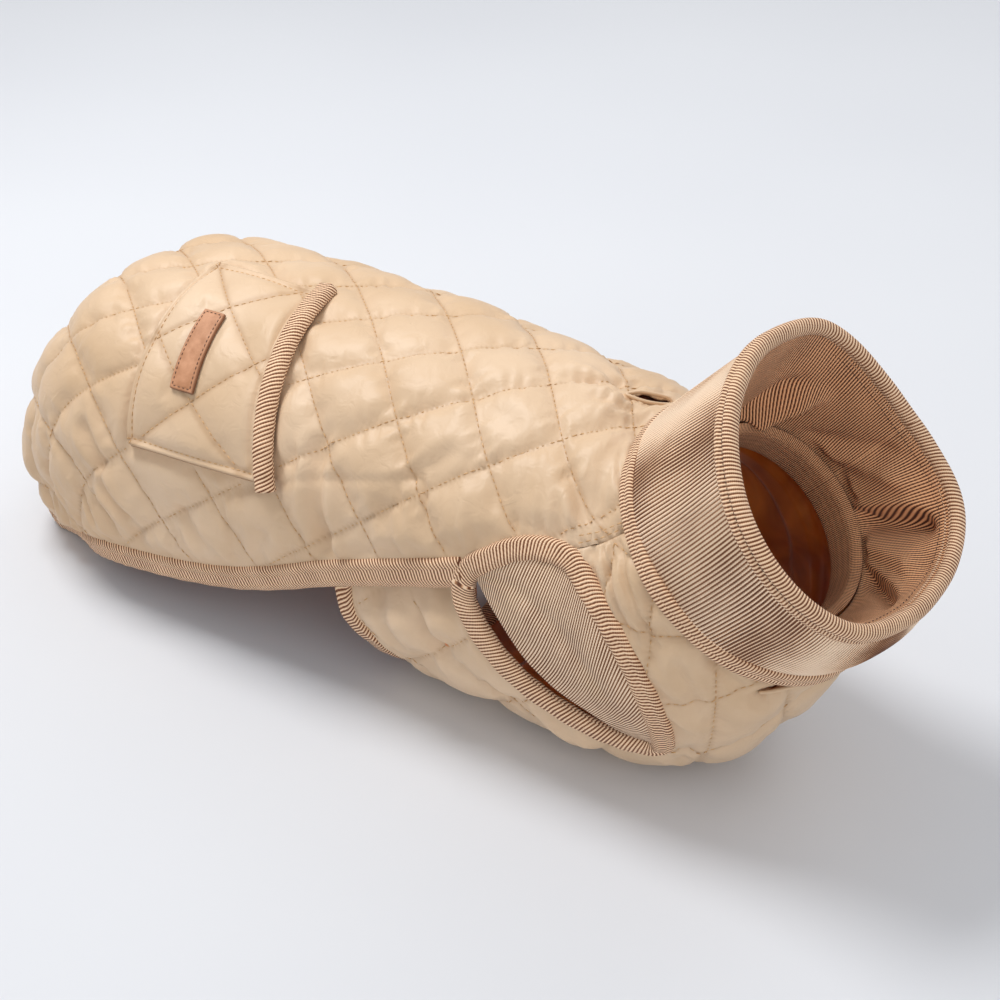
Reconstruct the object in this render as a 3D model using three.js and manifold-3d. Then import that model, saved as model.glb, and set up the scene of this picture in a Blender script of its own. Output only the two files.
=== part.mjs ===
// A quilted winter coat for a small dog, filled out as if worn and lying on its belly.
// Millimetres. +X runs toward the neck, +Y to the dog's left, +Z up, the floor at Z = 0.
import * as THREE from 'three';
import Module from 'manifold-3d';
import { mergeVertices } from 'three/addons/utils/BufferGeometryUtils.js';

const wasm = await Module();
wasm.setup();

// Driving dimensions
const WALL = 2.5;            // shell, wadding and lining pressed together at a stitch line
const PUFF = 5.5;            // how far a quilted diamond stands above its stitch lines
const SEAM = 0.4;            // gap kept between two pieces that are sewn together
const FADE = 13;             // a puff dies away over this distance from a sewn edge
const HEM_WIDTH = 12;        // folded rib binding on the back panel's hem
const BELLY_BINDING_WIDTH = 9;
const LEG_BINDING_WIDTH = 8.5;
const BINDING_PROUD = 1.7;   // a binding stands this far over and under the edge it holds
const LINING = 0.9;          // satin lining, seen through the neck and the leg openings
const SLIT_LENGTH = 21;      // buttonhole for a lead, just behind the collar
const SLIT_WIDTH = 3.2;
const LABEL_THICK = 1.8;
const KNIT = 2.6;            // rib knit, two layers
const COLLAR_RIBS = 200;     // ribs round the turned-down collar, about 2.2 mm apart
const RIB_HEIGHT = 0.7;
const BLOCK = { out: 16, in: -9 };  // reach of the block that cuts a panel to its outline
const TUCK = WALL + 5.2;     // how far the belly band lies inside the back panel
const PILLOW_SQUARE = 2.2;   // how flat the middle of a puff is
const STATION = 60;          // about the millimetres between two sections, for quick distances
const DEGREE = 1.5;          // about the millimetres in one degree round the body
const NECK_END = 10.98;      // station of the quilted panels' cut edge at the neck

// Grids: how finely each piece is cut up.
const BACK_CELLS = 6;        // grid cells along each diagonal of a quilted diamond
const CHEST_CELLS = 4;
const CHEST_COLUMNS = 28;
const CORE_ROWS = 22;
const CORE_COLUMNS = 28;
const LEG_POINTS = 36;
const ARC_STEPS = 20;        // arc lengths are measured this many times a station

// Sections of the body, tail to neck. Each is a closed oval in the plane through its top and
// base points: half is its half width, mid the height of its widest place as a share of its
// depth, upper and lower how square its two halves are (2 is round).
const SECTIONS = [
  { name: 'tail hem', topX: 22, topZ: 0, baseX: 76, baseZ: 0, half: 66, mid: 0.5, upper: 2.2, lower: 3 },
  { name: 'low rump', topX: 17, topZ: 52, baseX: 92, baseZ: 2, half: 79, mid: 0.5, upper: 2.3, lower: 3.6 },
  { name: 'rump', topX: 36, topZ: 113, baseX: 108, baseZ: 1, half: 90, mid: 0.45, upper: 2.4, lower: 4 },
  { name: 'high rump', topX: 75, topZ: 151, baseX: 126, baseZ: 1, half: 96, mid: 0.43, upper: 2.4, lower: 4 },
  { name: 'loin', topX: 131, topZ: 163, baseX: 150, baseZ: 1, half: 95, mid: 0.43, upper: 2.3, lower: 3.8 },
  { name: 'back', topX: 197, topZ: 168, baseX: 205, baseZ: 0, half: 90, mid: 0.45, upper: 2.3, lower: 3 },
  { name: 'ribs', topX: 266, topZ: 171, baseX: 268, baseZ: -0.5, half: 84, mid: 0.48, upper: 2.3, lower: 2.4 },
  { name: 'withers', topX: 338, topZ: 171, baseX: 342, baseZ: -0.5, half: 80, mid: 0.5, upper: 2.2, lower: 2.3 },
  { name: 'shoulder', topX: 380, topZ: 169, baseX: 425, baseZ: 1, half: 79, mid: 0.5, upper: 2.1, lower: 2.2 },
  { name: 'breast', topX: 394, topZ: 167, baseX: 472, baseZ: 24, half: 75, mid: 0.5, upper: 2, lower: 2.1 },
  { name: 'cuff edge', topX: 404, topZ: 166, baseX: 504, baseZ: 80, half: 66, mid: 0.5, upper: 2, lower: 2 },
  { name: 'neck seam', topX: 429, topZ: 174, baseX: 505, baseZ: 104, half: 52, mid: 0.5, upper: 2, lower: 2 },
];
const SECTION_KEYS = ['topX', 'topZ', 'baseX', 'baseZ', 'half', 'mid', 'upper', 'lower'];
const NECK = SECTIONS.length - 1;

// Edge of the back panel: degrees round from the spine at each station along the body.
// Past the leg opening's first corner it runs inside the opening, then along the shoulder seam.
const BACK_EDGE = [
  { u: 0.2, deg: 12 }, { u: 0.23, deg: 34 }, { u: 0.29, deg: 60 }, { u: 0.42, deg: 88 },
  { u: 0.7, deg: 106 }, { u: 1, deg: 115 }, { u: 1.5, deg: 119 }, { u: 2, deg: 120 },
  { u: 2.5, deg: 120 }, { u: 3, deg: 119 }, { u: 3.7, deg: 118 }, { u: 4.4, deg: 115.5 },
  { u: 5, deg: 110.5 }, { u: 5.5, deg: 103.5 }, { u: 6, deg: 94 }, { u: 6.4, deg: 87 },
  { u: 6.8, deg: 80 }, { u: 7.15, deg: 74 }, { u: 7.35, deg: 72 }, { u: 7.6, deg: 70 },
  { u: 8.1, deg: 66 }, { u: 8.3, deg: 62 }, { u: 8.55, deg: 55.8 }, { u: 9, deg: 54.8 },
  { u: 9.5, deg: 55 }, { u: 10, deg: 55.8 }, { u: NECK_END, deg: 57 },
];
// Upper edge of the chest panel: tucked inside the back panel, then inside the leg opening,
// then along the shoulder seam.
const CHEST_EDGE = [
  { u: 6.12, deg: 78 }, { u: 6.5, deg: 70 }, { u: 6.8, deg: 69 }, { u: 7, deg: 73 },
  { u: 7.2, deg: 82 }, { u: 7.4, deg: 86 }, { u: 7.8, deg: 88 }, { u: 8.1, deg: 80 },
  { u: 8.3, deg: 70 }, { u: 8.55, deg: 56.1 }, { u: 9, deg: 55.1 }, { u: 9.5, deg: 55.3 },
  { u: 10, deg: 56.1 }, { u: NECK_END, deg: 57.3 },
];
// Leg opening, cut edge, going round from its rear corner over the top and down the breast.
const LEG_OPENING = [
  { u: 7.13, deg: 79 }, { u: 7.2, deg: 73 }, { u: 7.37, deg: 67 }, { u: 7.6, deg: 61 },
  { u: 7.9, deg: 57.2 }, { u: 8.3, deg: 56.8 }, { u: 8.7, deg: 60.5 }, { u: 8.96, deg: 68 },
  { u: 9.17, deg: 80 }, { u: 9.24, deg: 97 }, { u: 9.13, deg: 114 }, { u: 8.99, deg: 125 },
  { u: 8.76, deg: 133 }, { u: 8.35, deg: 128 }, { u: 7.87, deg: 118 }, { u: 7.5, deg: 109 },
  { u: 7.24, deg: 96 }, { u: 7.13, deg: 86 },
];
// Free edge of the rib gusset that closes most of the leg opening.
const GUSSET_EDGE = [
  { u: 7.36, deg: 80 }, { u: 7.52, deg: 89 }, { u: 7.7, deg: 98 }, { u: 7.95, deg: 105.5 },
  { u: 8.28, deg: 114 }, { u: 8.6, deg: 124.5 },
];
const GUSSET_SPAN = { first: 3, last: 23 };  // outline points that the gusset is sewn to
const LEG_MIDDLE = { u: 8.25, deg: 92 };
const LEG_CUT = { out: 18, in: -12 };        // how far the cutter reaches off the cloth
const HEM_END = 7.08;                        // the hem's binding stops at the leg openings
const BEND_SHARE = 0.8;                      // of a bend's radius, for a line moved inside it
const BELLY_REAR = [{ deg: 60, u: 6.12 }, { deg: 105, u: 6.12 }, { deg: 125, u: 6.3 }, { deg: 180, u: 6.42 }];

// Back quilting: places along the spine and round the body as sums of the lattice's powers.
const BACK_SHIFT = 0.35;     // the spine lies this many diamonds to the side of a crossing
const BACK_LATTICE = {
  row: { middle: 4, share: 3 },
  along: { start: 357, pitch: 173, closing: -15, arch: -4.5, archGrowth: 5.5 },
  round: { pitch: 98, growth: 12, closing: -1.7, spread: 3.3 },
};
const BACK_ROWS = { from: 12, to: 492 };      // the puffs die away beyond these arc lengths
// Chest quilting, measured along a line beside the belly and in from its middle.
const CHEST_PITCH = { along: 58, round: 52 };
const CHEST_START = 6.2;
const CHEST_WIDEST = 7;

// Patch pocket on the right flank and the label on it: corners on the cloth.
const POCKET = { rear: [{ u: 4.0, deg: -4 }, { u: 4.14, deg: -73 }], front: [{ u: 5.04, deg: -4 }, { u: 5.48, deg: -69 }] };
const POCKET_TOP = -4;        // degrees from the spine to the pocket's upper edge
const POCKET_DEEP = -66;      // and from there to its lower edge
const POCKET_LIFT = 2.4;
const POCKET_WALL = 2.2;
const POCKET_PUFF = 3.6;
const POCKET_QUILT = { along: 0.8, across: 0.46 };
const POCKET_ROLL = { width: 9.5, low: 2.5, high: 8.2 };
const POCKET_CROSSING = { along: 0.48, across: 0.28 };
const LABEL = { along: 0.41, top: 0.33, bottom: 0.71, half: 0.095 };

// Collar rings: centre, the elevation of the ring's axis, and the cloth's outer radius there.
const FUNNEL = [
  { x: 467.4, z: 139.4, tilt: 47.4, radius: 52 },
  { x: 482, z: 155.5, tilt: 45, radius: 58 },
  { x: 500, z: 176.1, tilt: 40.5, radius: 66.4 },
];
const CUFF = [
  { x: 500, z: 176.1, tilt: 40.5, radius: 69.5 },
  { x: 478, z: 150.5, tilt: 46.5, radius: 70.6 },
  { x: 455, z: 124.3, tilt: 51, radius: 69.6 },
];
const RIM = { depth: 8, outer: 70.9, inner: 63.4 };
const CUFF_HEM = { depth: 9, outer: 71, inner: 67 };
const NECK_RING = { length: 17, outer: 46.8, wall: 2, flare: 3 };
const LINING_SPAN = { from: 7.7, to: 10.95 };
const SLIT_PLACE = { x: 387, y: 15, z: 148, turn: 33, deep: 40 };

const QUILT_COLOUR = 0xdfc39f;
const RIB_COLOUR = 0xb8967a;
const LINING_COLOUR = 0x9a5a26;
const LABEL_COLOUR = 0xa8704c;

const rad = THREE.MathUtils.degToRad;
const mix = (a, b, f) => a + (b - a) * f;
const clamp01 = (v) => Math.min(Math.max(v, 0), 1);
const smooth = (v) => clamp01(v) ** 2 * (3 - 2 * clamp01(v));

// A value from a table by one of its columns, straight between rows.
function lookup(table, keyName, valueName, key) {
  let k = 0;
  while (k < table.length - 2 && key > table[k + 1][keyName]) k += 1;
  const a = table[k];
  const b = table[k + 1];
  const f = (key - a[keyName]) / (b[keyName] - a[keyName]);
  return mix(a[valueName], b[valueName], clamp01(f));
}

// Section at station u, by a Catmull-Rom spline through the table, carried on past both ends.
function sectionAt(u) {
  const k = Math.min(Math.max(Math.floor(u), 0), NECK - 1);
  const f = u - k;
  const row = (index) => SECTIONS[Math.min(Math.max(index, 0), NECK)];
  const out = {};
  for (const key of SECTION_KEYS) {
    const [p0, p1, p2, p3] = [row(k - 1)[key], row(k)[key], row(k + 1)[key], row(k + 2)[key]];
    if (f < 0) out[key] = p1 + (p2 - p1) * f;
    else if (f > 1) out[key] = p2 + (p2 - p1) * (f - 1);
    else {
      out[key] = 0.5 * (2 * p1 + (p2 - p0) * f + (2 * p0 - 5 * p1 + 4 * p2 - p3) * f * f
        + (3 * p1 - p0 - 3 * p2 + p3) * f * f * f);
    }
  }
  return out;
}

// Point of the body's cloth at station u, deg round from the spine (plus is the dog's left).
function surface(u, deg) {
  const r = sectionAt(u);
  const c = Math.cos(rad(deg));
  const s = Math.sin(rad(deg));
  const n = c >= 0 ? r.upper : r.lower;
  const reach = (Math.abs(c) ** n + Math.abs(s) ** n) ** (-1 / n);
  const height = reach * c;
  const share = c >= 0 ? r.mid + (1 - r.mid) * height : r.mid + r.mid * height;
  return new THREE.Vector3(
    mix(r.baseX, r.topX, share), reach * s * r.half, mix(r.baseZ, r.topZ, share));
}

function normalAt(u, deg) {
  const along = surface(u + 0.02, deg).sub(surface(u - 0.02, deg));
  const round = surface(u, deg + 0.5).sub(surface(u, deg - 0.5));
  return along.cross(round).normalize();
}

// Cloth point lifted off the body's surface, and never below the floor.
function lifted(u, deg, lift) {
  const point = surface(u, deg).addScaledVector(normalAt(u, deg), lift);
  point.z = Math.max(point.z, 0);
  return point;
}

// Arc lengths on the cloth: along the body on a line beside the spine, and round each section.
function alongLine(deg) {
  const table = [{ u: 0, s: 0 }];
  for (let k = 1; k <= NECK * ARC_STEPS; k += 1) {
    const step = surface(k / ARC_STEPS, deg).distanceTo(surface((k - 1) / ARC_STEPS, deg));
    table.push({ u: k / ARC_STEPS, s: table[k - 1].s + step });
  }
  return table;
}
const LEG_LINE = legOutline(-1);
const backAlong = alongLine(25);
const chestAlong = alongLine(115);
const roundTable = [];
for (let k = 0; k <= NECK * ARC_STEPS; k += 1) {
  const u = k / ARC_STEPS;
  const arc = [0];
  for (let deg = 2; deg <= 180; deg += 2) {
    arc.push(arc[arc.length - 1] + surface(u, deg).distanceTo(surface(u, deg - 2)));
  }
  roundTable.push(arc);
}

function stationAt(table, s) {
  const last = table[table.length - 1];
  const before = table[table.length - 1 - ARC_STEPS];
  if (s < 0) return s / table[ARC_STEPS].s;
  if (s > last.s) return last.u + (s - last.s) / (last.s - before.s);
  return lookup(table, 's', 'u', s);
}

function degreesAt(u, t) {
  const k = Math.min(Math.max(Math.round(u * ARC_STEPS), 0), roundTable.length - 1);
  const arc = roundTable[k];
  let j = 0;
  while (j < arc.length - 2 && Math.abs(t) > arc[j + 1]) j += 1;
  return Math.sign(t) * (2 * j + (2 * (Math.abs(t) - arc[j])) / (arc[j + 1] - arc[j]));
}

// Millimetres on the cloth for one station and for one degree.
function metric(u, deg) {
  return {
    perU: surface(u + 0.05, deg).distanceTo(surface(u - 0.05, deg)) / 0.1,
    perDeg: surface(u, deg + 1).distanceTo(surface(u, deg - 1)) / 2,
  };
}

// The back's quilting. row counts diamonds from the tail, side counts them from the spine;
// the stitch lines are where row - side and row + side are whole. The grid follows the body.
function backQuilt(row, side) {
  const { row: rows, along, round } = BACK_LATTICE;
  const n = (row - rows.middle) / rows.share;
  const v = side / 2;
  const s = along.start + along.pitch * n + along.closing * n * n + (along.arch + along.archGrowth * n) * v * v;
  const t = v * (round.pitch + round.growth * n + round.closing * n * n) + round.spread * v * v * v;
  const u = stationAt(backAlong, s);
  return { u, deg: -degreesAt(u, t), s };
}

// The chest's quilting, counted from the middle of the belly and forward from its rear edge.
function chestQuilt(row, side) {
  const s = lookup(chestAlong, 'u', 's', CHEST_START) + row * CHEST_PITCH.along;
  const u = stationAt(chestAlong, s);
  const k = Math.min(Math.max(Math.round(u * ARC_STEPS), 0), roundTable.length - 1);
  const girth = roundTable[k].at(-1);
  const widest = roundTable[CHEST_WIDEST * ARC_STEPS].at(-1);
  const t = girth * (1 - (Math.abs(side) * CHEST_PITCH.round) / widest);
  return { u, deg: Math.sign(side || 1) * degreesAt(u, t), s };
}

// Height of a puff from its place between the stitch lines: 1 in the middle, 0 on a line.
function pillow(a, b) {
  const line = (v) => 1 - (1 - 2 * Math.abs(v - Math.round(v))) ** PILLOW_SQUARE;
  return line(a) * line(b);
}

// Closed mesh from a list of points and triangles.
function meshGeometry(points, triangles) {
  const geometry = new THREE.BufferGeometry();
  geometry.setAttribute('position', new THREE.Float32BufferAttribute(points.flatMap((p) => [p.x, p.y, p.z]), 3));
  geometry.setIndex(triangles);
  return geometry;
}

// Wall between two grids of points. The inner grid is the outer one or a coarser one; the rims
// are zipped. A grid that closes on itself repeats no column.
function wall(outer, inner, closed = false) {
  const points = [...outer.flat(), ...inner.flat()];
  const triangles = [];
  const start = outer.length * outer[0].length;
  const outerAt = (i, j) => i * outer[0].length + (j % outer[0].length);
  const innerAt = (i, j) => start + i * inner[0].length + (j % inner[0].length);
  const span = (grid) => (closed ? grid[0].length : grid[0].length - 1);
  const face = (grid, at, turned) => {
    for (let i = 0; i < grid.length - 1; i += 1) {
      for (let j = 0; j < span(grid); j += 1) {
        const quad = [at(i, j), at(i + 1, j), at(i + 1, j + 1), at(i, j + 1)];
        if (turned) quad.reverse();
        triangles.push(quad[0], quad[1], quad[2], quad[0], quad[2], quad[3]);
      }
    }
  };
  face(outer, outerAt, false);
  face(inner, innerAt, true);
  const zip = (fine, coarse, turned) => {
    const ratio = (fine.length - 1) / (coarse.length - 1);
    for (let k = 0; k < coarse.length - 1; k += 1) {
      const base = k * ratio;
      const half = Math.ceil(ratio / 2);
      const add = (a, b, c) => triangles.push(...(turned ? [a, c, b] : [a, b, c]));
      for (let m = 0; m < half; m += 1) add(coarse[k], fine[base + m + 1], fine[base + m]);
      add(coarse[k], coarse[k + 1], fine[base + half]);
      for (let m = half; m < ratio; m += 1) add(coarse[k + 1], fine[base + m + 1], fine[base + m]);
    }
  };
  const line = (count, at) => Array.from({ length: count }, (_, k) => at(k));
  zip(line(span(outer) + 1, (j) => outerAt(0, j)), line(span(inner) + 1, (j) => innerAt(0, j)), true);
  zip(line(span(outer) + 1, (j) => outerAt(outer.length - 1, j)),
    line(span(inner) + 1, (j) => innerAt(inner.length - 1, j)), false);
  if (!closed) {
    zip(line(outer.length, (i) => outerAt(i, 0)), line(inner.length, (i) => innerAt(i, 0)), false);
    zip(line(outer.length, (i) => outerAt(i, outer[0].length - 1)),
      line(inner.length, (i) => innerAt(i, inner[0].length - 1)), true);
  }
  return outward(meshGeometry(points, triangles));
}

// Turns a closed mesh so that its faces point out.
function outward(geometry) {
  const p = geometry.attributes.position;
  const index = geometry.index.array;
  const [a, b, c] = [new THREE.Vector3(), new THREE.Vector3(), new THREE.Vector3()];
  let volume = 0;
  for (let k = 0; k < index.length; k += 3) {
    a.fromBufferAttribute(p, index[k]);
    b.fromBufferAttribute(p, index[k + 1]);
    c.fromBufferAttribute(p, index[k + 2]);
    volume += a.dot(b.cross(c));
  }
  if (volume < 0) {
    for (let k = 0; k < index.length; k += 3) [index[k + 1], index[k + 2]] = [index[k + 2], index[k + 1]];
  }
  return geometry;
}

function solid(geometry) {
  const merged = mergeVertices(geometry, 1e-4);
  return new wasm.Manifold(new wasm.Mesh({
    numProp: 3,
    vertProperties: new Float32Array(merged.attributes.position.array),
    triVerts: new Uint32Array(merged.index.array),
  }));
}

function fromSolid(manifold) {
  const mesh = manifold.getMesh();
  const geometry = new THREE.BufferGeometry();
  geometry.setAttribute('position', new THREE.BufferAttribute(new Float32Array(mesh.vertProperties), 3));
  geometry.setIndex(new THREE.BufferAttribute(new Uint32Array(mesh.triVerts), 1));
  return geometry;
}

// Grid of lifted cloth points from a function of row and column that gives u, deg and lift.
function clothGrid(rows, columns, place) {
  return Array.from({ length: rows + 1 }, (_, i) => Array.from({ length: columns + 1 }, (__, j) => {
    const at = place(i / rows, j / columns);
    return lifted(at.u, at.deg, at.lift);
  }));
}

// Slab of quilting over every cell that the test keeps, thick enough to be cut to a wall.
function quiltSlab({ cells, rows, sides, shift, place, keep, lift, under }) {
  const points = [];
  const triangles = [];
  const index = new Map();
  const edges = new Map();
  const vertex = (i, j) => {
    const key = `${i},${j}`;
    if (!index.has(key)) {
      const at = place(i / cells, j / cells - shift);
      index.set(key, points.length);
      const normal = normalAt(at.u, at.deg);
      const base = surface(at.u, at.deg);
      const top = base.clone().addScaledVector(normal, lift(i / cells, j / cells, at));
      top.z = Math.max(top.z, 0);
      points.push(top, base.clone().addScaledVector(normal, under(at)));
    }
    return index.get(key);
  };
  const side = (a, b) => {
    const reverse = `${b},${a}`;
    if (edges.has(reverse)) edges.delete(reverse);
    else edges.set(`${a},${b}`, [a, b]);
  };
  for (let i = rows[0] * cells; i < rows[1] * cells; i += 1) {
    for (let j = sides[0] * cells; j < sides[1] * cells; j += 1) {
      if (!keep(place((i + 0.5) / cells, (j + 0.5) / cells - shift))) continue;
      const quad = [vertex(i, j), vertex(i + 1, j), vertex(i + 1, j + 1), vertex(i, j + 1)];
      // The diagonal follows the stitch line that crosses the cell's corners.
      const rising = (i - j) % cells === 0;
      const falling = (i + j + 1) % cells === 0;
      const turn = falling || (!rising && (i + j) % 2 !== 0) ? 1 : 0;
      const [a, b, c, d] = [0, 1, 2, 3].map((k) => quad[(k + turn) % 4]);
      triangles.push(a, b, c, a, c, d, a + 1, c + 1, b + 1, a + 1, d + 1, c + 1);
      quad.forEach((corner, k) => side(corner, quad[(k + 1) % 4]));
    }
  }
  for (const [a, b] of edges.values()) triangles.push(b, a, a + 1, b, a + 1, b + 1);
  return solid(outward(meshGeometry(points, triangles)));
}

// The space inside the cloth: everything below a given depth under the surface.
function core(depth) {
  const over = 0.4;
  const grid = [];
  for (let i = 0; i <= CORE_ROWS; i += 1) {
    const u = mix(-over, NECK + over, i / CORE_ROWS);
    grid.push(Array.from({ length: CORE_COLUMNS }, (_, j) => {
      const deg = (360 * j) / CORE_COLUMNS - 180;
      return surface(u, deg).addScaledVector(normalAt(u, deg), -depth);
    }));
  }
  const points = grid.flat();
  const triangles = [];
  const at = (i, j) => i * CORE_COLUMNS + (j % CORE_COLUMNS);
  for (let i = 0; i < CORE_ROWS; i += 1) {
    for (let j = 0; j < CORE_COLUMNS; j += 1) {
      triangles.push(at(i, j), at(i + 1, j), at(i + 1, j + 1), at(i, j), at(i + 1, j + 1), at(i, j + 1));
    }
  }
  for (const [row, turned] of [[0, false], [CORE_ROWS, true]]) {
    const centre = new THREE.Vector3();
    grid[row].forEach((p) => centre.addScaledVector(p, 1 / CORE_COLUMNS));
    points.push(centre);
    for (let j = 0; j < CORE_COLUMNS; j += 1) {
      const rim = [at(row, j), at(row, j + 1)];
      if (turned) rim.reverse();
      triangles.push(points.length - 1, rim[0], rim[1]);
    }
  }
  return solid(outward(meshGeometry(points, triangles)));
}

// Thick block over a region of the cloth, which trims a slab to the panel's cut edge.
function regionBlock(rows, columns, place) {
  const outer = clothBlockGrid(rows, columns, place, BLOCK.out);
  const inner = clothBlockGrid(rows, columns, place, BLOCK.in);
  return solid(wall(outer, inner));
}

function clothBlockGrid(rows, columns, place, lift) {
  return Array.from({ length: rows + 1 }, (_, i) => Array.from({ length: columns + 1 }, (__, j) => {
    const at = place(i / rows, j / columns);
    return surface(at.u, at.deg).addScaledVector(normalAt(at.u, at.deg), lift);
  }));
}

// Smooth closed outline of a leg opening, as places on the cloth. side is -1 on the right.
function legOutline(side) {
  const curve = new THREE.CatmullRomCurve3(
    LEG_OPENING.map((row) => new THREE.Vector3(row.u * STATION, row.deg, 0)), true, 'centripetal');
  return Array.from({ length: LEG_POINTS }, (_, k) => {
    const p = curve.getPoint(k / LEG_POINTS);
    return { u: p.x / STATION, deg: side * p.y };
  });
}

// A line of places moved sideways on the cloth. Inside a tight bend it is moved less, so that it
// doesn't cross itself.
function moveLine(line, distance, closed) {
  const count = line.length;
  return line.map((here, k) => {
    const before = closed ? line[(k + count - 1) % count] : line[Math.max(k - 1, 0)];
    const after = closed ? line[(k + 1) % count] : line[Math.min(k + 1, count - 1)];
    const scale = metric(here.u, here.deg);
    const flat = (from, to) => [(to.u - from.u) * scale.perU, (to.deg - from.deg) * scale.perDeg];
    const [du, dt] = flat(before, after);
    const length = Math.hypot(du, dt);
    const [a, b] = [flat(before, here), flat(here, after)];
    const turn = Math.atan2(a[0] * b[1] - a[1] * b[0], a[0] * b[0] + a[1] * b[1]);
    let move = distance;
    if (turn * distance < 0) {
      const radius = length / 2 / Math.abs(turn);
      move = Math.sign(distance) * Math.min(Math.abs(distance), BEND_SHARE * radius);
    }
    return {
      u: here.u + ((dt / length) * move) / scale.perU,
      deg: here.deg - ((du / length) * move) / scale.perDeg,
    };
  });
}

// Bar of binding that runs beside a line of places. Its section is flat against the edge that it
// holds and round on its free side.
function bindingBar(line, { near, width, low, high, way = 1, closed = false, dip = () => 0 }) {
  const profile = [
    { out: near, lift: low }, { out: near, lift: high }, { out: near + width * 0.6, lift: high + 0.3 },
    { out: near + width, lift: mix(low, high, 0.75) }, { out: near + width, lift: mix(low, high, 0.25) },
    { out: near + width * 0.6, lift: low - 0.3 },
  ];
  const moved = profile.map((corner) => moveLine(line, way * corner.out, closed));
  const ring = line.map((_, k) => profile.map((corner, c) => {
    const at = moved[c][k];
    return lifted(at.u, at.deg, corner.lift + dip(line[k].u, line[k].deg));
  }));
  return bar(ring, closed);
}

// Closed bar through rings of points, with flat ends unless it joins up.
function bar(rings, closed) {
  const count = rings[0].length;
  const points = rings.flat();
  const triangles = [];
  const at = (i, j) => (i % rings.length) * count + (j % count);
  for (let i = 0; i < (closed ? rings.length : rings.length - 1); i += 1) {
    for (let j = 0; j < count; j += 1) {
      triangles.push(at(i, j), at(i + 1, j), at(i + 1, j + 1), at(i, j), at(i + 1, j + 1), at(i, j + 1));
    }
  }
  if (!closed) {
    for (let j = 1; j < count - 1; j += 1) {
      triangles.push(at(0, 0), at(0, j), at(0, j + 1));
      triangles.push(at(rings.length - 1, 0), at(rings.length - 1, j + 1), at(rings.length - 1, j));
    }
  }
  return outward(meshGeometry(points, triangles));
}

function inBack(at, margin) {
  return at.u > BACK_EDGE[0].u - margin / STATION && at.u < NECK_END + (2 * margin) / STATION
    && Math.abs(at.deg) < lookup(BACK_EDGE, 'u', 'deg', at.u) + margin;
}

// A place on the cloth in shares of the pocket's width and height.
function pocketPlace(u, deg) {
  const across = (deg - POCKET_TOP) / POCKET_DEEP;
  const rear = mix(POCKET.rear[0].u, POCKET.rear[1].u, clamp01(across));
  const front = mix(POCKET.front[0].u, POCKET.front[1].u, clamp01(across));
  return { along: (u - rear) / (front - rear), across };
}

// 1 where the pocket covers the cloth, fading to 0 a little outside it.
function underPocket(u, deg) {
  const at = pocketPlace(u, deg);
  const inside = Math.min(at.along + 0.12, 1.24 - at.along, at.across + 0.1, 1.1 - at.across);
  return smooth(inside / 0.07);
}

// Distance on the cloth to the leg opening's edge.
function legDistance(u, deg) {
  let best = Infinity;
  const scale = metric(u, Math.abs(deg));
  for (const p of LEG_LINE) {
    best = Math.min(best, Math.hypot((p.u - u) * scale.perU, (Math.abs(p.deg) - Math.abs(deg)) * scale.perDeg));
  }
  return best;
}

function backLift(row, side, at) {
  const edge = (lookup(BACK_EDGE, 'u', 'deg', at.u) - Math.abs(at.deg)) * DEGREE;
  const ends = Math.min(at.s - BACK_ROWS.from, BACK_ROWS.to - at.s);
  const away = Math.min(edge, ends, legDistance(at.u, at.deg));
  const fade = smooth(away / FADE) * (1 - 0.8 * underPocket(at.u, at.deg));
  return PUFF * fade * pillow(row - side, row + side);
}

// The chest panel dips under the back panel's hem where its band is fastened inside it.
function chestDip(u, deg) {
  const round = Math.abs(deg) > 180 ? 360 - Math.abs(deg) : Math.abs(deg);
  const past = round - lookup(BACK_EDGE, 'u', 'deg', Math.min(u, 7.15)) - 9;
  return -TUCK * (1 - smooth(past / 14)) * (1 - smooth((u - 7.1) / 0.5));
}

function chestLift(row, side, at) {
  const toNeck = (10 - at.u) * metric(at.u, at.deg).perU;
  const edge = (Math.abs(at.deg) - lookup(CHEST_EDGE, 'u', 'deg', at.u)) * DEGREE;
  const rear = (at.u - lookup(BELLY_REAR, 'deg', 'u', Math.abs(at.deg))) * STATION;
  const away = Math.min(edge, rear, toNeck, legDistance(at.u, at.deg));
  const dip = chestDip(at.u, at.deg);
  const free = 1 - 0.85 * (-dip / TUCK);
  return dip + PUFF * free * smooth(away / FADE) * pillow(row - side, row + side);
}

// Closed block through the cloth along a leg opening's edge.
function legCutter(side) {
  const line = legOutline(side);
  const centre = { u: LEG_MIDDLE.u, deg: side * LEG_MIDDLE.deg };
  const layers = [LEG_CUT.out, LEG_CUT.in].map((lift) => [...line, centre].map((p) => (
    surface(p.u, p.deg).addScaledVector(normalAt(p.u, p.deg), lift))));
  const triangles = [];
  const low = LEG_POINTS + 1;
  for (let k = 0; k < LEG_POINTS; k += 1) {
    const next = (k + 1) % LEG_POINTS;
    triangles.push(LEG_POINTS, k, next, low + LEG_POINTS, low + next, low + k);
    triangles.push(k, low + k, low + next, k, low + next, next);
  }
  return solid(outward(meshGeometry(layers.flat(), triangles)));
}

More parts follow.
